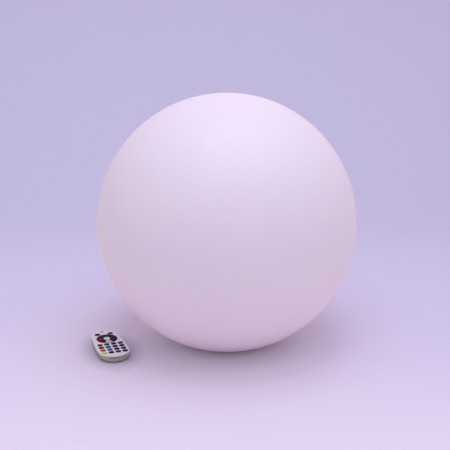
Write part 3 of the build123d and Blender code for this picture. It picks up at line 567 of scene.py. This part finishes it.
def sharp_edges(bm, flat, sharp):
    """Makes faces whole where they turn by less than flat degrees, and returns edges of more than sharp."""
    bmesh.ops.dissolve_limit(
        bm, angle_limit=radians(flat), use_dissolve_boundaries=False, verts=bm.verts[:], edges=bm.edges[:],
    )
    bmesh.ops.recalc_face_normals(bm, faces=bm.faces[:])
    return [e for e in bm.edges if e.is_manifold and e.calc_face_angle() > radians(sharp)]


middle_radius = (ring_inner + ring_outer) / 2
ring_place = remote_place @ Matrix.Translation((0, ring_ahead, 0))
for name, (toward, spread, heart_angle, colour, edge_colour) in ring_keys.items():
    low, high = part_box(name)
    low.z += key_clearance
    sweep = radians(spread) - ring_gap / middle_radius
    bm = spin_section(
        width=ring_outer - ring_inner, height=high.z - low.z, radius=middle_radius,
        level=(low.z + high.z) / 2, angle=sweep, steps=spread // 3,
    )
    round_edges(bm, sharp_edges(bm, flat=1, sharp=40), width=ring_round, segments=3)
    start = Matrix.Rotation(radians(toward) - sweep / 2, 4, "Z")
    bmesh.ops.transform(bm, matrix=ring_place @ start, verts=bm.verts[:])
    heart = ring_place @ Matrix.Rotation(radians(heart_angle), 4, "Z") @ Vector((middle_radius, 0, high.z))
    colours = screen_colour(*colour), screen_colour(*edge_colour)
    finish = ring_finish(f"silicone_{name}", *colours, heart, glow_reach)
    make_piece(f"{name}_cap", bm, finish, name, [name])

# %% Model the ring's centre key
low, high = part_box("key_centre")
low.z += key_clearance
centre_radius = 5.1 * mm
centre_rim = 0.8 * mm
dish_step = 1.2 * mm
bm = bmesh.new()
bmesh.ops.create_cone(
    bm, cap_ends=True, segments=64, radius1=centre_radius, radius2=centre_radius, depth=high.z - low.z,
)
bmesh.ops.translate(bm, vec=(ring_middle.x, ring_middle.y, (low.z + high.z) / 2), verts=bm.verts[:])
bm.normal_update()
round_edges(bm, top_face(bm).edges[:], width=centre_rim, segments=6)
dish = top_face(bm)
for depth in (-0.12 * mm, -0.08 * mm):
    bmesh.ops.inset_region(bm, faces=[dish], thickness=dish_step, depth=depth)
    bm.normal_update()
centre_finish = key_finish("silicone_key_centre", screen_colour(214, 212, 226), gloss=0.4)
make_piece("key_centre_cap", bm, centre_finish, "key_centre", ["key_centre"])

# %% [markdown]
# ## Pieces that keep the solid's shape
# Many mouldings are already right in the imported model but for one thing: every edge on them is
# knife-sharp, and a real moulding has a small round on each edge that shines as a thin line. A copy of the
# node is merged, because its triangles lie loose, and the flat triangles are dissolved back into whole
# faces. The edges that turn by more than 40 degrees are then bevelled by a few tenths of a millimetre.
# On a small part the bevel must stay small too: on the flap, one of 0.2 mm meets its neighbour on a thin
# side and shoots out as a spike, while one of 0.15 mm is sound.

# %% Copy a node with its edges rounded
def soften(node, name, material, body, width, angle=40, between=None):
    """A copy of a CAD node with rounded edges. between gives the two heights that the edges lie in."""
    bm = bmesh.new()
    bm.from_mesh(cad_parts[node].data)
    bmesh.ops.remove_doubles(bm, verts=bm.verts[:], dist=2e-6)
    edges = sharp_edges(bm, flat=0.4, sharp=angle)
    if between:
        edges = [e for e in edges if all(between[0] < v.co.z < between[1] for v in e.verts)]
    round_edges(bm, edges, width, segments=3)
    make_piece(name, bm, material, body, [node])


# %% [markdown]
# ## The remote's shell
# The upper cover is glossy white ABS on its face. Just below the rounded rim it turns to the warm
# grey of the hull, which is also painted shade on the cover's sides. The hull has a painted contact shadow:
# a dark line round its lowest edge, where it meets the floor. Its flat underside is grey again. All of
# these are set by height, with a Map Range on the Z of Object coordinates. The hull keeps the imported
# mesh, which is curved all over. On the cover only the rims of the key holes are rounded afresh, and on
# the tray every edge.

# %% Finish and model the remote's shell
def add_split(tree, place):
    """A vector's X, Y and Z as sockets of their own."""
    split = tree.nodes.new("ShaderNodeSeparateXYZ")
    tree.links.new(place, split.inputs["Vector"])
    return split.outputs


def tone_by_height(material, shader, lower_colour, start, end):
    """Turns the finish to another colour below a height, over a blend from start to end."""
    tree = material.node_tree
    place = tree.nodes.new("ShaderNodeTexCoord").outputs["Object"]
    upper = shader.inputs["Base Color"].links[0].from_socket
    above = add_range(tree, add_split(tree, place)["Z"], 0, 1, start, end)
    tree.links.new(add_mix(tree, above, lower_colour, upper), shader.inputs["Base Color"])


cover_white, shader = moulded_finish(
    "remote_cover_white", screen_colour(221, 216, 234), 0.3, drift=0.015, drift_per_metre=60,
    grain_per_metre=6000, grain_depth=0.000008, grain_strength=0.2, worn=0.35,
)
set_inputs(shader, {"Coat Weight": 0.35, "Coat Roughness": 0.15})
# painted shade: below the rim the cover takes the hull's grey, which also stands for the shade on its sides
side_shade_start, side_shade_end = cover_top - 0.75 * mm, cover_top - 0.4 * mm
tone_by_height(cover_white, shader, screen_colour(158, 154, 157), side_shade_start, side_shade_end)
hull_grey, shader = moulded_finish(
    "remote_hull_grey", screen_colour(164, 159, 157), 0.45, drift=0.03, drift_per_metre=60,
    grain_per_metre=5000, grain_depth=0.00002, grain_strength=0.45, worn=0.3,
)
# painted contact shadow: the lowest two millimetres of the hull's side are turned dark, as the shade where it meets
# the floor
contact_shadow_start, contact_shadow_end = 0.9 * mm, 1.9 * mm
sole_start, sole_end = 0.04 * mm, 0.12 * mm
tone_by_height(hull_grey, shader, screen_colour(38, 31, 38), contact_shadow_start, contact_shadow_end)
tone_by_height(hull_grey, shader, screen_colour(150, 145, 144), sole_start, sole_end)
hair = 0.01 * mm
soften(
    "remote_top_cover", "remote_cover", cover_white, "remote",
    width=0.22 * mm, between=(cover_top - hair, cover_top + hair),
)
soften("battery_tray", "remote_battery_tray", hull_grey, "tray", width=0.2 * mm, angle=60)

# %% [markdown]
# ## Printing on the cover
# Pad printing leaves a film of ink a few hundredths of a millimetre thick. The words for off and on stand
# between their two keys, and a grey ring is printed round the indicator. A word starts as a text object
# with a little thickness. It is made a mesh before it is moved, because an object's own place would slide
# its finish. The ring is a small rectangle, spun all the way round.

# %% Print the words and the ring
ink_grey, shader = moulded_finish(
    "ink_grey", screen_colour(112, 108, 122), 0.5, drift=0.1, drift_per_metre=900, grain_per_metre=12000,
    grain_depth=0.000005, grain_strength=0.4, worn=0.5,
)
film = 0.02 * mm                # half of the ink's thickness
sunk = 0.015 * mm               # and so much of it lies in the cover
word_height = 2.9 * mm
word_fat = 0.03 * mm            # thickens the strokes


def lay_print(name, bm, beside, step=0.0):
    """Puts a print on the cover, at a step along the remote's own X axis from a node's middle."""
    spot = remote_place.inverted() @ node_middle(beside)
    place = remote_place @ Matrix.Translation((spot.x + step, spot.y, cover_top + film - sunk))
    bmesh.ops.transform(bm, matrix=place, verts=bm.verts[:])
    make_piece(name, bm, ink_grey, "remote", weighted=False)


for word, key, step in (("OFF", "key_off", 6.9 * mm), ("ON", "key_on", -6.7 * mm)):
    text = bpy.data.curves.new(f"word_{word}", "FONT")
    text.body = word
    text.size = word_height
    text.align_x = "CENTER"
    text.align_y = "CENTER"
    text.extrude = film
    text.offset = word_fat
    holder = bpy.data.objects.new(f"word_{word}", text)
    word_mesh = bpy.data.meshes.new_from_object(holder)
    bpy.data.objects.remove(holder)
    bm = bmesh.new()
    bm.from_mesh(word_mesh)
    lay_print(f"print_{word.lower()}", bm, key, step)

ink_inside, ink_outside = 1.55 * mm, 2.65 * mm
ink_line = [
    (ink_inside, -film), (ink_outside, -film), (ink_outside, film), (ink_inside, film), (ink_inside, -film),
]
lay_print("print_indicator_ring", spin_profile(ink_line, 64), "indicator_lens")

# %% [markdown]
# ## Rubber, metal, boards and clear plastic
# The pieces inside and underneath are ordinary ones, so each finish is what a hand would know: dull black
# rubber on the seal, turned steel on the screws, turned brass on the inserts, solder mask over copper on
# the boards, shrink sleeve on the cells. Each reads Object coordinates, and only the sizes of the patterns
# differ. The finishes are kept under the names of the record's material slots that they dress.

# %% Rubber and plain plastics
finishes = {
    "globe_white": ball_white,
    "remote_white": cover_white,
    "remote_grey": hull_grey,
}
plain_finishes = {
    # slot: (colour, roughness, drift, grain per metre, grain depth)
    "housing_white": ((228, 222, 232), 0.42, 0.02, 3500, 0.00003),
    "seal_rubber": ((34, 33, 37), 0.55, 0.12, 2600, 0.00004),
    "foot_rubber": ((206, 201, 209), 0.5, 0.04, 2200, 0.00004),
    "black_plastic": ((30, 29, 33), 0.42, 0.1, 3500, 0.00003),
    "button_rubber": ((92, 90, 98), 0.5, 0.08, 4000, 0.00003),
    "lead_black": ((26, 25, 28), 0.32, 0.1, 1200, 0.00003),
    "mat_silicone": ((214, 210, 218), 0.45, 0.04, 3000, 0.00002),
}
for slot, (rgb, roughness, drift, grain_per_metre, depth) in plain_finishes.items():
    finishes[slot] = moulded_finish(
        slot, screen_colour(*rgb), roughness, drift=drift, drift_per_metre=45,
        grain_per_metre=grain_per_metre, grain_depth=depth, worn=0.25,
    )[0]
soft_light = {"Subsurface Weight": 0.4, "Subsurface Radius": (1.0, 0.95, 1.0), "Subsurface Scale": 0.002}
extras = {"foot_rubber": soft_light, "mat_silicone": soft_light, "lead_black": {"Coat Weight": 0.3}}
for slot, values in extras.items():
    set_inputs(finishes[slot].node_tree.nodes["Principled BSDF"], values)
print("plain finishes:", len(plain_finishes))

# %% Metals
def metal_finish(name, colour, roughness, stretch):
    """Metal with fine turning marks: a noise that is stretched along some axes, in roughness and bump."""
    material, tree, shader, place = start_finish(name)
    mover = tree.nodes.new("ShaderNodeMapping")
    mover.inputs["Scale"].default_value = stretch
    tree.links.new(place, mover.inputs["Vector"])
    marks = add_noise(tree, mover.outputs["Vector"], 900, detail=5, roughness=0.65)
    tarnish = add_noise(tree, place, 220, detail=4)
    tree.links.new(add_drift(tree, tarnish, colour, 0.82, 1.08), shader.inputs["Base Color"])
    tree.links.new(add_range(tree, marks, roughness - 0.08, roughness + 0.14), shader.inputs["Roughness"])
    shader.inputs["Metallic"].default_value = 1.0
    add_grain(tree, marks, 0.00001, 0.5, shader)
    return material


metals = {
    # slot: (colour, roughness, stretch of the turning marks)
    "screw_steel": ((188, 188, 194), 0.3, (1, 1, 6)),
    "coin_steel": ((202, 202, 206), 0.26, (0.3, 6, 1)),
    "insert_brass": ((208, 168, 92), 0.32, (4, 4, 0.5)),
}
for slot, (rgb, roughness, stretch) in metals.items():
    finishes[slot] = metal_finish(slot, screen_colour(*rgb), roughness, stretch)
print("metals:", len(metals))

# %% Boards
def board_finish(name, mask, copper, cell_per_metre):
    """Solder mask: the copper tracks underneath show as a grid of slightly lighter, raised lines."""
    material, tree, shader, place = start_finish(name)
    tracks = tree.nodes.new("ShaderNodeTexBrick")
    tracks.offset = 0.35
    tracks.squash = 1.6
    set_inputs(tracks, {"Scale": cell_per_metre, "Mortar Size": 0.05, "Mortar Smooth": 0.4})
    tree.links.new(place, tracks.inputs["Vector"])
    weave = add_noise(tree, place, 1500, detail=3)
    base = add_drift(tree, weave, mask, 0.9, 1.1)
    tree.links.new(add_mix(tree, tracks.outputs["Fac"], base, copper), shader.inputs["Base Color"])
    tree.links.new(add_range(tree, weave, 0.28, 0.42), shader.inputs["Roughness"])
    set_inputs(shader, {"Coat Weight": 0.4, "Coat Roughness": 0.2})
    add_grain(tree, tracks.outputs["Fac"], 0.00004, 0.6, shader)
    return material


boards = {
    # slot: (mask, mask over copper, cells in a metre)
    "board_green": ((18, 92, 58), (56, 136, 86), 160),
    "board_white": ((232, 232, 228), (214, 212, 200), 90),
}
for slot, (mask, copper, cell_per_metre) in boards.items():
    finishes[slot] = board_finish(slot, screen_colour(*mask), screen_colour(*copper), cell_per_metre)
print("boards:", len(boards))

# %% Clear and coloured plastics
def clear_finish(name, colour, transmission, roughness, subsurface):
    """Cast or frosted plastic that lets some light through, with faint flow lines."""
    material, tree, shader, place = start_finish(name)
    flow = add_noise(tree, place, 120, detail=4)
    tree.links.new(add_drift(tree, flow, colour, 0.94, 1.04), shader.inputs["Base Color"])
    tree.links.new(add_range(tree, flow, roughness - 0.03, roughness + 0.05), shader.inputs["Roughness"])
    set_inputs(shader, {"Transmission Weight": transmission, "IOR": 1.5})
    set_inputs(shader, {"Subsurface Weight": subsurface, "Subsurface Scale": 0.003})
    add_grain(tree, add_noise(tree, place, 3000, detail=2), 0.00001, 0.25, shader)
    return material


clear_plastics = {
    # slot: (colour, transmission, roughness, subsurface)
    "diffuser": ((238, 236, 238), 0.12, 0.42, 0.5),
    "light_lens": ((196, 44, 34), 0.35, 0.2, 0),
    "emitter_clear": ((120, 106, 150), 0.6, 0.12, 0),
    "indicator_grey": ((150, 144, 160), 0.3, 0.25, 0),
    "receiver_dark": ((26, 18, 24), 0.1, 0.18, 0),
    "led_yellow": ((232, 202, 84), 0.05, 0.4, 0.3),
}
for slot, (rgb, transmission, roughness, subsurface) in clear_plastics.items():
    finishes[slot] = clear_finish(slot, screen_colour(*rgb), transmission, roughness, subsurface)
print("clear plastics:", len(clear_plastics))

# %% The cells' shrink sleeve
def add_math(tree, operation, first, second=0.0):
    """One Math node on two values, each a socket or a number."""
    node = tree.nodes.new("ShaderNodeMath")
    node.operation = operation
    feed(tree, node.inputs[0], first)
    feed(tree, node.inputs[1], second)
    return node.outputs["Value"]


cell_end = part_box("battery_cells")[1].x
sleeve, tree, shader, place = start_finish("cell_sleeve")
from_middle = add_math(tree, "ABSOLUTE", add_split(tree, place)["X"])
bare = add_range(tree, from_middle, 0, 1, cell_end - 0.4 * mm, cell_end - 0.2 * mm)
wrinkle = add_noise(tree, place, 300, detail=4)
blue = add_mix(tree, add_range(tree, wrinkle, 0, 1), screen_colour(34, 84, 150), screen_colour(46, 104, 176))
tree.links.new(add_mix(tree, bare, blue, screen_colour(190, 190, 196)), shader.inputs["Base Color"])
tree.links.new(bare, shader.inputs["Metallic"])
tree.links.new(add_range(tree, wrinkle, 0.22, 0.34), shader.inputs["Roughness"])
add_grain(tree, wrinkle, 0.00008, 0.35, shader)
finishes["cell_sleeve"] = sleeve
print("made", sleeve.name)

# %% [markdown]
# ## The light inside
# The lamp is a white board with sixteen surface LEDs under a frosted dome. A surface LED is a square white
# cup with a pool of yellow phosphor. The cup is a bevelled cube, an inset makes the rim of the pool, and
# the inset face is pushed in and given the phosphor's finish. The dome is one line, spun round the axis:
# down the inside, along the flange's underside and edge, up the outside, over the crown and back.

# %% Model the LEDs
led_low, led_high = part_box("leds")
led_size = 5 * mm
outer_circle = 21 * mm
inner_circle = 10 * mm
led_places = [(outer_circle, 30 * step) for step in range(12)]
led_places += [(inner_circle, 45 + 90 * step) for step in range(4)]
cup_size = (led_size, led_size, led_high.z - led_low.z)
bm = bmesh.new()
for circle, angle in led_places:
    cup = add_cube(bm, cup_size, (circle, 0, (led_low.z + led_high.z) / 2))
    bmesh.ops.rotate(bm, cent=(0, 0, 0), matrix=Matrix.Rotation(radians(angle), 3, "Z"), verts=cup)
round_edges(bm, bm.edges[:], width=0.25 * mm, segments=2)
tops = [f for f in bm.faces if f.normal.z > 0.99 and f.calc_area() > led_size**2 / 2]
bmesh.ops.inset_individual(bm, faces=tops, thickness=0.55 * mm)
bm.normal_update()
for face in tops:
    face.material_index = 1
bmesh.ops.inset_individual(bm, faces=tops, thickness=0.12 * mm, depth=-0.25 * mm)
leds = make_piece("led_cups", bm, finishes["board_white"], "base", ["leds"])
leds.data.materials.append(finishes["led_yellow"])
print("LEDs:", len(tops))

# %% Model the frosted dome
dome_low, dome_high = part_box("diffuser_dome")
flange_radius = dome_high.x
dome_radius = 31 * mm
dome_wall = 2.2 * mm
dome_centre = dome_high.z - dome_radius
flange_top = dome_low.z + 2.5 * mm
root_round = 1.2 * mm
edge_round = 0.6 * mm
dome_inside = dome_radius - dome_wall
edge_middle = flange_radius - edge_round
dome_line = (
    [(dome_inside, dome_centre), (dome_inside, dome_low.z), (edge_middle, dome_low.z)]
    + arc_points(edge_middle, dome_low.z + edge_round, edge_round, -90, 0, 4)[1:]
    + arc_points(edge_middle, flange_top - edge_round, edge_round, 0, 90, 4)
    + arc_points(dome_radius + root_round, flange_top + root_round, root_round, 270, 180, 5)
    + arc_points(0, dome_centre, dome_radius, 0, 90, 32)
    + arc_points(0, dome_centre, dome_inside, 90, 0, 32)
)
make_piece("frosted_dome", spin_profile(dome_line), finishes["diffuser"], "base", ["diffuser_dome"])

# %% [markdown]
# ## Foot ring and power button
# The foot ring is a soft ring with a rounded underside, so it is spun from a line with arcs at its lower
# corners. The power button is a rubber cap with a shallow dish for the fingertip and the usual raised
# mark of a ring with a gap and a short bar. The bar and the ring stand about a quarter of a millimetre
# out of the dish, as a mould would make them.

# %% Model the foot ring
foot_round = 0.7 * mm
round_level = ring_low.z + foot_round
foot_line = (
    [(groove_inner, ring_high.z)]
    + arc_points(groove_inner + foot_round, round_level, foot_round, 180, 270, 5)
    + arc_points(groove_outer - foot_round, round_level, foot_round, 270, 360, 5)
    + [(groove_outer, ring_high.z), (groove_inner, ring_high.z)]
)
make_piece(
    "soft_foot_ring", spin_profile(foot_line, 160), finishes["foot_rubber"], "globe", ["foot_ring"],
)

# %% Model the power button
button_low, button_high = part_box("power_button")
button_middle = (button_low + button_high) / 2
button_radius = 5.7 * mm
button_face = button_low.z
button_flange = button_high.x
button_shoulder = button_high.z - 1.5 * mm
cap_round = 0.9 * mm
cap_land = 0.3 * mm             # flat ring between the dish and the round edge
dish_rise = 0.35 * mm
button_line = (
    [(0, button_face + dish_rise)]
    + [(2.2 * mm, button_face + 0.9 * dish_rise), (3.6 * mm, button_face + 0.5 * dish_rise)]
    + [(button_radius - cap_round - cap_land, button_face)]
    + arc_points(button_radius - cap_round, button_face + cap_round, cap_round, 270, 360, 6)
    + [(button_radius, button_shoulder), (button_flange, button_shoulder), (button_flange, button_high.z)]
    + [(0, button_high.z)]
)
bm = spin_profile(button_line, 96)

mark_level = button_face + dish_rise
mark_height = 0.55 * mm
mark_width = 0.5 * mm
mark_radius = 1.9 * mm
mark_gap = 64                   # degrees left open for the bar
bar_length = 2.0 * mm
bar_middle = 1.4 * mm
mark = spin_section(
    width=mark_width, height=mark_height, radius=mark_radius, level=mark_level,
    angle=radians(360 - mark_gap), steps=48,
)
bmesh.ops.rotate(mark, matrix=Matrix.Rotation(radians(90 + mark_gap / 2), 3, "Z"), verts=mark.verts[:])
add_cube(mark, (mark_width, bar_length, mark_height), (0, bar_middle, mark_level))
put_into(bm, mark)
bmesh.ops.translate(bm, vec=(button_middle.x, button_middle.y, 0), verts=bm.verts[:])
make_piece("power_button_cap", bm, finishes["button_rubber"], "button", ["power_button"])

# %% [markdown]
# ## Housing, threaded ring and flap
# These three keep the solid's shape and only lose their knife edges. On the housing and the ring the
# bevel is kept to the lower part, where only the thread's first ends reach, so that its turns stay crisp.

# %% Round the edges of the base's mouldings
soften(
    "base_housing", "base_shell", finishes["housing_white"], "base",
    width=0.4 * mm, between=(4.5 * mm, 20.5 * mm),
)
soften(
    "thread_collar", "collar_ring", finishes["housing_white"], "globe",
    width=0.3 * mm, between=(11.5 * mm, 16 * mm),
)
soften("port_flap", "flap_moulding", finishes["housing_white"], "flap", width=0.15 * mm)

# %% [markdown]
# ## The other nodes
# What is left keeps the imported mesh. Each node's material slots are filled with the finish of the same
# name, so that nothing anywhere shows a flat colour.

# %% Dress the nodes that stay
dressed = 0
for name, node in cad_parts.items():
    for holder in node.material_slots:
        slot = holder.material.name
        if slot in finishes:
            holder.material = finishes[slot]
            dressed += 1
        elif not node.hide_render:
            print("no finish for", name, slot)
print("material slots dressed:", dressed)

# %% [markdown]
# ## Floor and backdrop
# The photo was taken on a sheet of paper that curves up behind the ball. One line is drawn from front to
# back, along the floor, round a quarter circle and up the wall, and extruded sideways. The paper's colour
# is painted lighter in front, darker up the wall and darker towards its right-hand side. This is a painted
# fall-off of the light, put in the paper's colour and not in the lamp, so that the object keeps a plain
# light. Patches near the ball and the remote are painted too: a painted shade round the ball, a painted
# light that lifts the shadow close to it, and a painted shadow round the remote. Light that the paper
# throws back is one plain pale tone, so no patch tints the ball. From underneath the paper is see-through,
# so that a camera below the floor sees the ball's base. Two windows in it, under the ball's recess and
# under the remote, let the world's light through to the undersides. They are hidden from above by what
# stands on them, and a camera never sees them.

# %% Tones of the paper
soft_rim = 0.7                  # share of a patch's radius, from the rim inwards, that fades in
paper, tree, shader, place = start_finish("backdrop_paper")
axes = add_split(tree, place)
depth = add_range(tree, axes["Y"], 0, 1, -0.75, 0.85)
# painted fall-off of the light: the paper is coloured light in front and darker up the wall
ramp = tree.nodes.new("ShaderNodeValToRGB")
ramp.color_ramp.interpolation = "EASE"
ramp.color_ramp.elements[0].color = screen_colour(249, 234, 255)
ramp.color_ramp.elements[1].color = screen_colour(203, 198, 236)
middle_tone = ramp.color_ramp.elements.new(0.55)
middle_tone.color = screen_colour(213, 206, 245)
tree.links.new(depth, ramp.inputs["Fac"])
cloudy = add_range(tree, add_noise(tree, place, 2.2, detail=2), 0, 0.15)
tone = add_mix(tree, cloudy, ramp.outputs["Color"], screen_colour(212, 200, 236))
# painted shade: the paper darkens towards its right-hand side, where less light falls
painted_side_shade = add_range(tree, axes["X"], 0, 0.12, -0.5, 0.9)
tone = add_mix(tree, painted_side_shade, tone, screen_colour(160, 134, 160))
# painted shade and light: a painted shade round the ball, a painted light that lifts the shadow next to it, and a
# painted shadow round the remote
patches = [
    # middle, size, turn, strength in the patch's middle, colour
    ((-0.04, -0.03, 0), (0.38, 0.38, 0.38), 0, 0.9, (229, 215, 237)),
    ((0, 0, 0), (0.17, 0.17, 0.17), 0, 1.0, (255, 250, 255)),
    (remote_place @ Vector((0, 10 * mm, 0)), (53 * mm, 86 * mm, 53 * mm), remote_turn, 1.0, (184, 177, 199)),
]
for middle, scale, turn, strength, patch_colour in patches:
    patch = add_range(tree, add_round(tree, place, middle, scale, turn), 0, strength, 0, soft_rim)
    tone = add_mix(tree, patch, tone, screen_colour(*patch_colour))
ray = tree.nodes.new("ShaderNodeLightPath")
thrown_back = screen_colour(242, 230, 236)
seen = add_mix(tree, ray.outputs["Is Camera Ray"], thrown_back, tone)
tree.links.new(seen, shader.inputs["Base Color"])
set_inputs(shader, {"Roughness": 0.75, "Specular IOR Level": 0.15})
add_grain(tree, add_noise(tree, place, 9, detail=3), 0.002, 0.12, shader)
print("patches on the paper:", len(patches))

# %% Windows in the paper
window_edge = 2 * mm            # the ball's window stays this far inside its foot
window_size = foot_radius - window_edge
remote_spot = remote_place @ Vector((0, 15 * mm, 0))
remote_window = (19 * mm, 44 * mm, 20 * mm)
windows = add_math(
    tree, "MAXIMUM",
    add_round(tree, place, (0, 0, 0), (window_size, window_size, window_size)),
    add_round(tree, place, remote_spot, remote_window, remote_turn),
)
window = add_math(tree, "GREATER_THAN", windows, 0.001)
other_ray = add_math(tree, "SUBTRACT", 1.0, ray.outputs["Is Camera Ray"])
let_light_up = add_math(tree, "MULTIPLY", window, other_ray)
see_through = tree.nodes.new("ShaderNodeBsdfTransparent")
side = tree.nodes.new("ShaderNodeNewGeometry")
chooser = tree.nodes.new("ShaderNodeMixShader")
tree.links.new(add_math(tree, "MAXIMUM", side.outputs["Backfacing"], let_light_up), chooser.inputs["Fac"])
tree.links.new(shader.outputs["BSDF"], chooser.inputs[1])
tree.links.new(see_through.outputs["BSDF"], chooser.inputs[2])
tree.links.new(chooser.outputs["Shader"], tree.nodes["Material Output"].inputs["Surface"])
print("made", paper.name)

# %% Model the paper
paper_half_width = 4.0
paper_front = -3.0
bend_start = 0.62
bend_radius = 0.55
wall_height = 2.6
bm = bmesh.new()
front = bm.verts.new((-paper_half_width, paper_front, 0))
bend = bm.verts.new((-paper_half_width, bend_start, 0))
bm.edges.new((front, bend))
arc = bmesh.ops.spin(
    bm, geom=[bend], cent=(0, bend_start, bend_radius), axis=(1, 0, 0), angle=radians(90), steps=24,
)
top = arc["geom_last"][0]
wall_top = bm.verts.new(top.co + Vector((0, 0, wall_height)))
bm.edges.new((top, wall_top))
sheet_edges = bmesh.ops.extrude_edge_only(bm, edges=bm.edges[:])["geom"]
far_side = [g for g in sheet_edges if isinstance(g, bmesh.types.BMVert)]
bmesh.ops.translate(bm, vec=(2 * paper_half_width, 0, 0), verts=far_side)
bmesh.ops.recalc_face_normals(bm, faces=bm.faces[:])
floor_face = min(bm.faces, key=lambda face: face.calc_center_median().z)
if floor_face.normal.z < 0:
    bmesh.ops.reverse_faces(bm, faces=bm.faces[:])
backdrop = mesh_object("backdrop", bm, paper)
print("backdrop faces:", len(backdrop.data.polygons))

# %% [markdown]
# ## Light
# The photo has one large soft lamp overhead and pale paper all round. A white world gives the even part
# and a square lamp above the ball, a little in front of it, gives the soft shine on its upper side and the
# shadow under it. Both are plain white: the lavender of the picture is in the colours.

# %% Set up the world and the lamp
world = bpy.data.worlds.new("studio")
bpy.context.scene.world = world
world.use_nodes = True
set_inputs(world.node_tree.nodes["Background"], {"Color": (1, 1, 1, 1), "Strength": 0.65})

lamp_place = Vector((0.12, -0.3, 1.75))
lamp_target = Vector((0, 0, 0.2))
lamp_data = bpy.data.lights.new("overhead_lamp", "AREA")
lamp_data.shape = "SQUARE"
lamp_data.size = 1.5            # metres
lamp_data.energy = 12.6         # watts
lamp = bpy.data.objects.new("overhead_lamp", lamp_data)
bpy.context.scene.collection.objects.link(lamp)
lamp.location = lamp_place
lamp.rotation_euler = (lamp_target - lamp_place).to_track_quat("-Z", "Y").to_euler()
bpy.context.scene.view_settings.view_transform = "Standard"
print("lamp set")
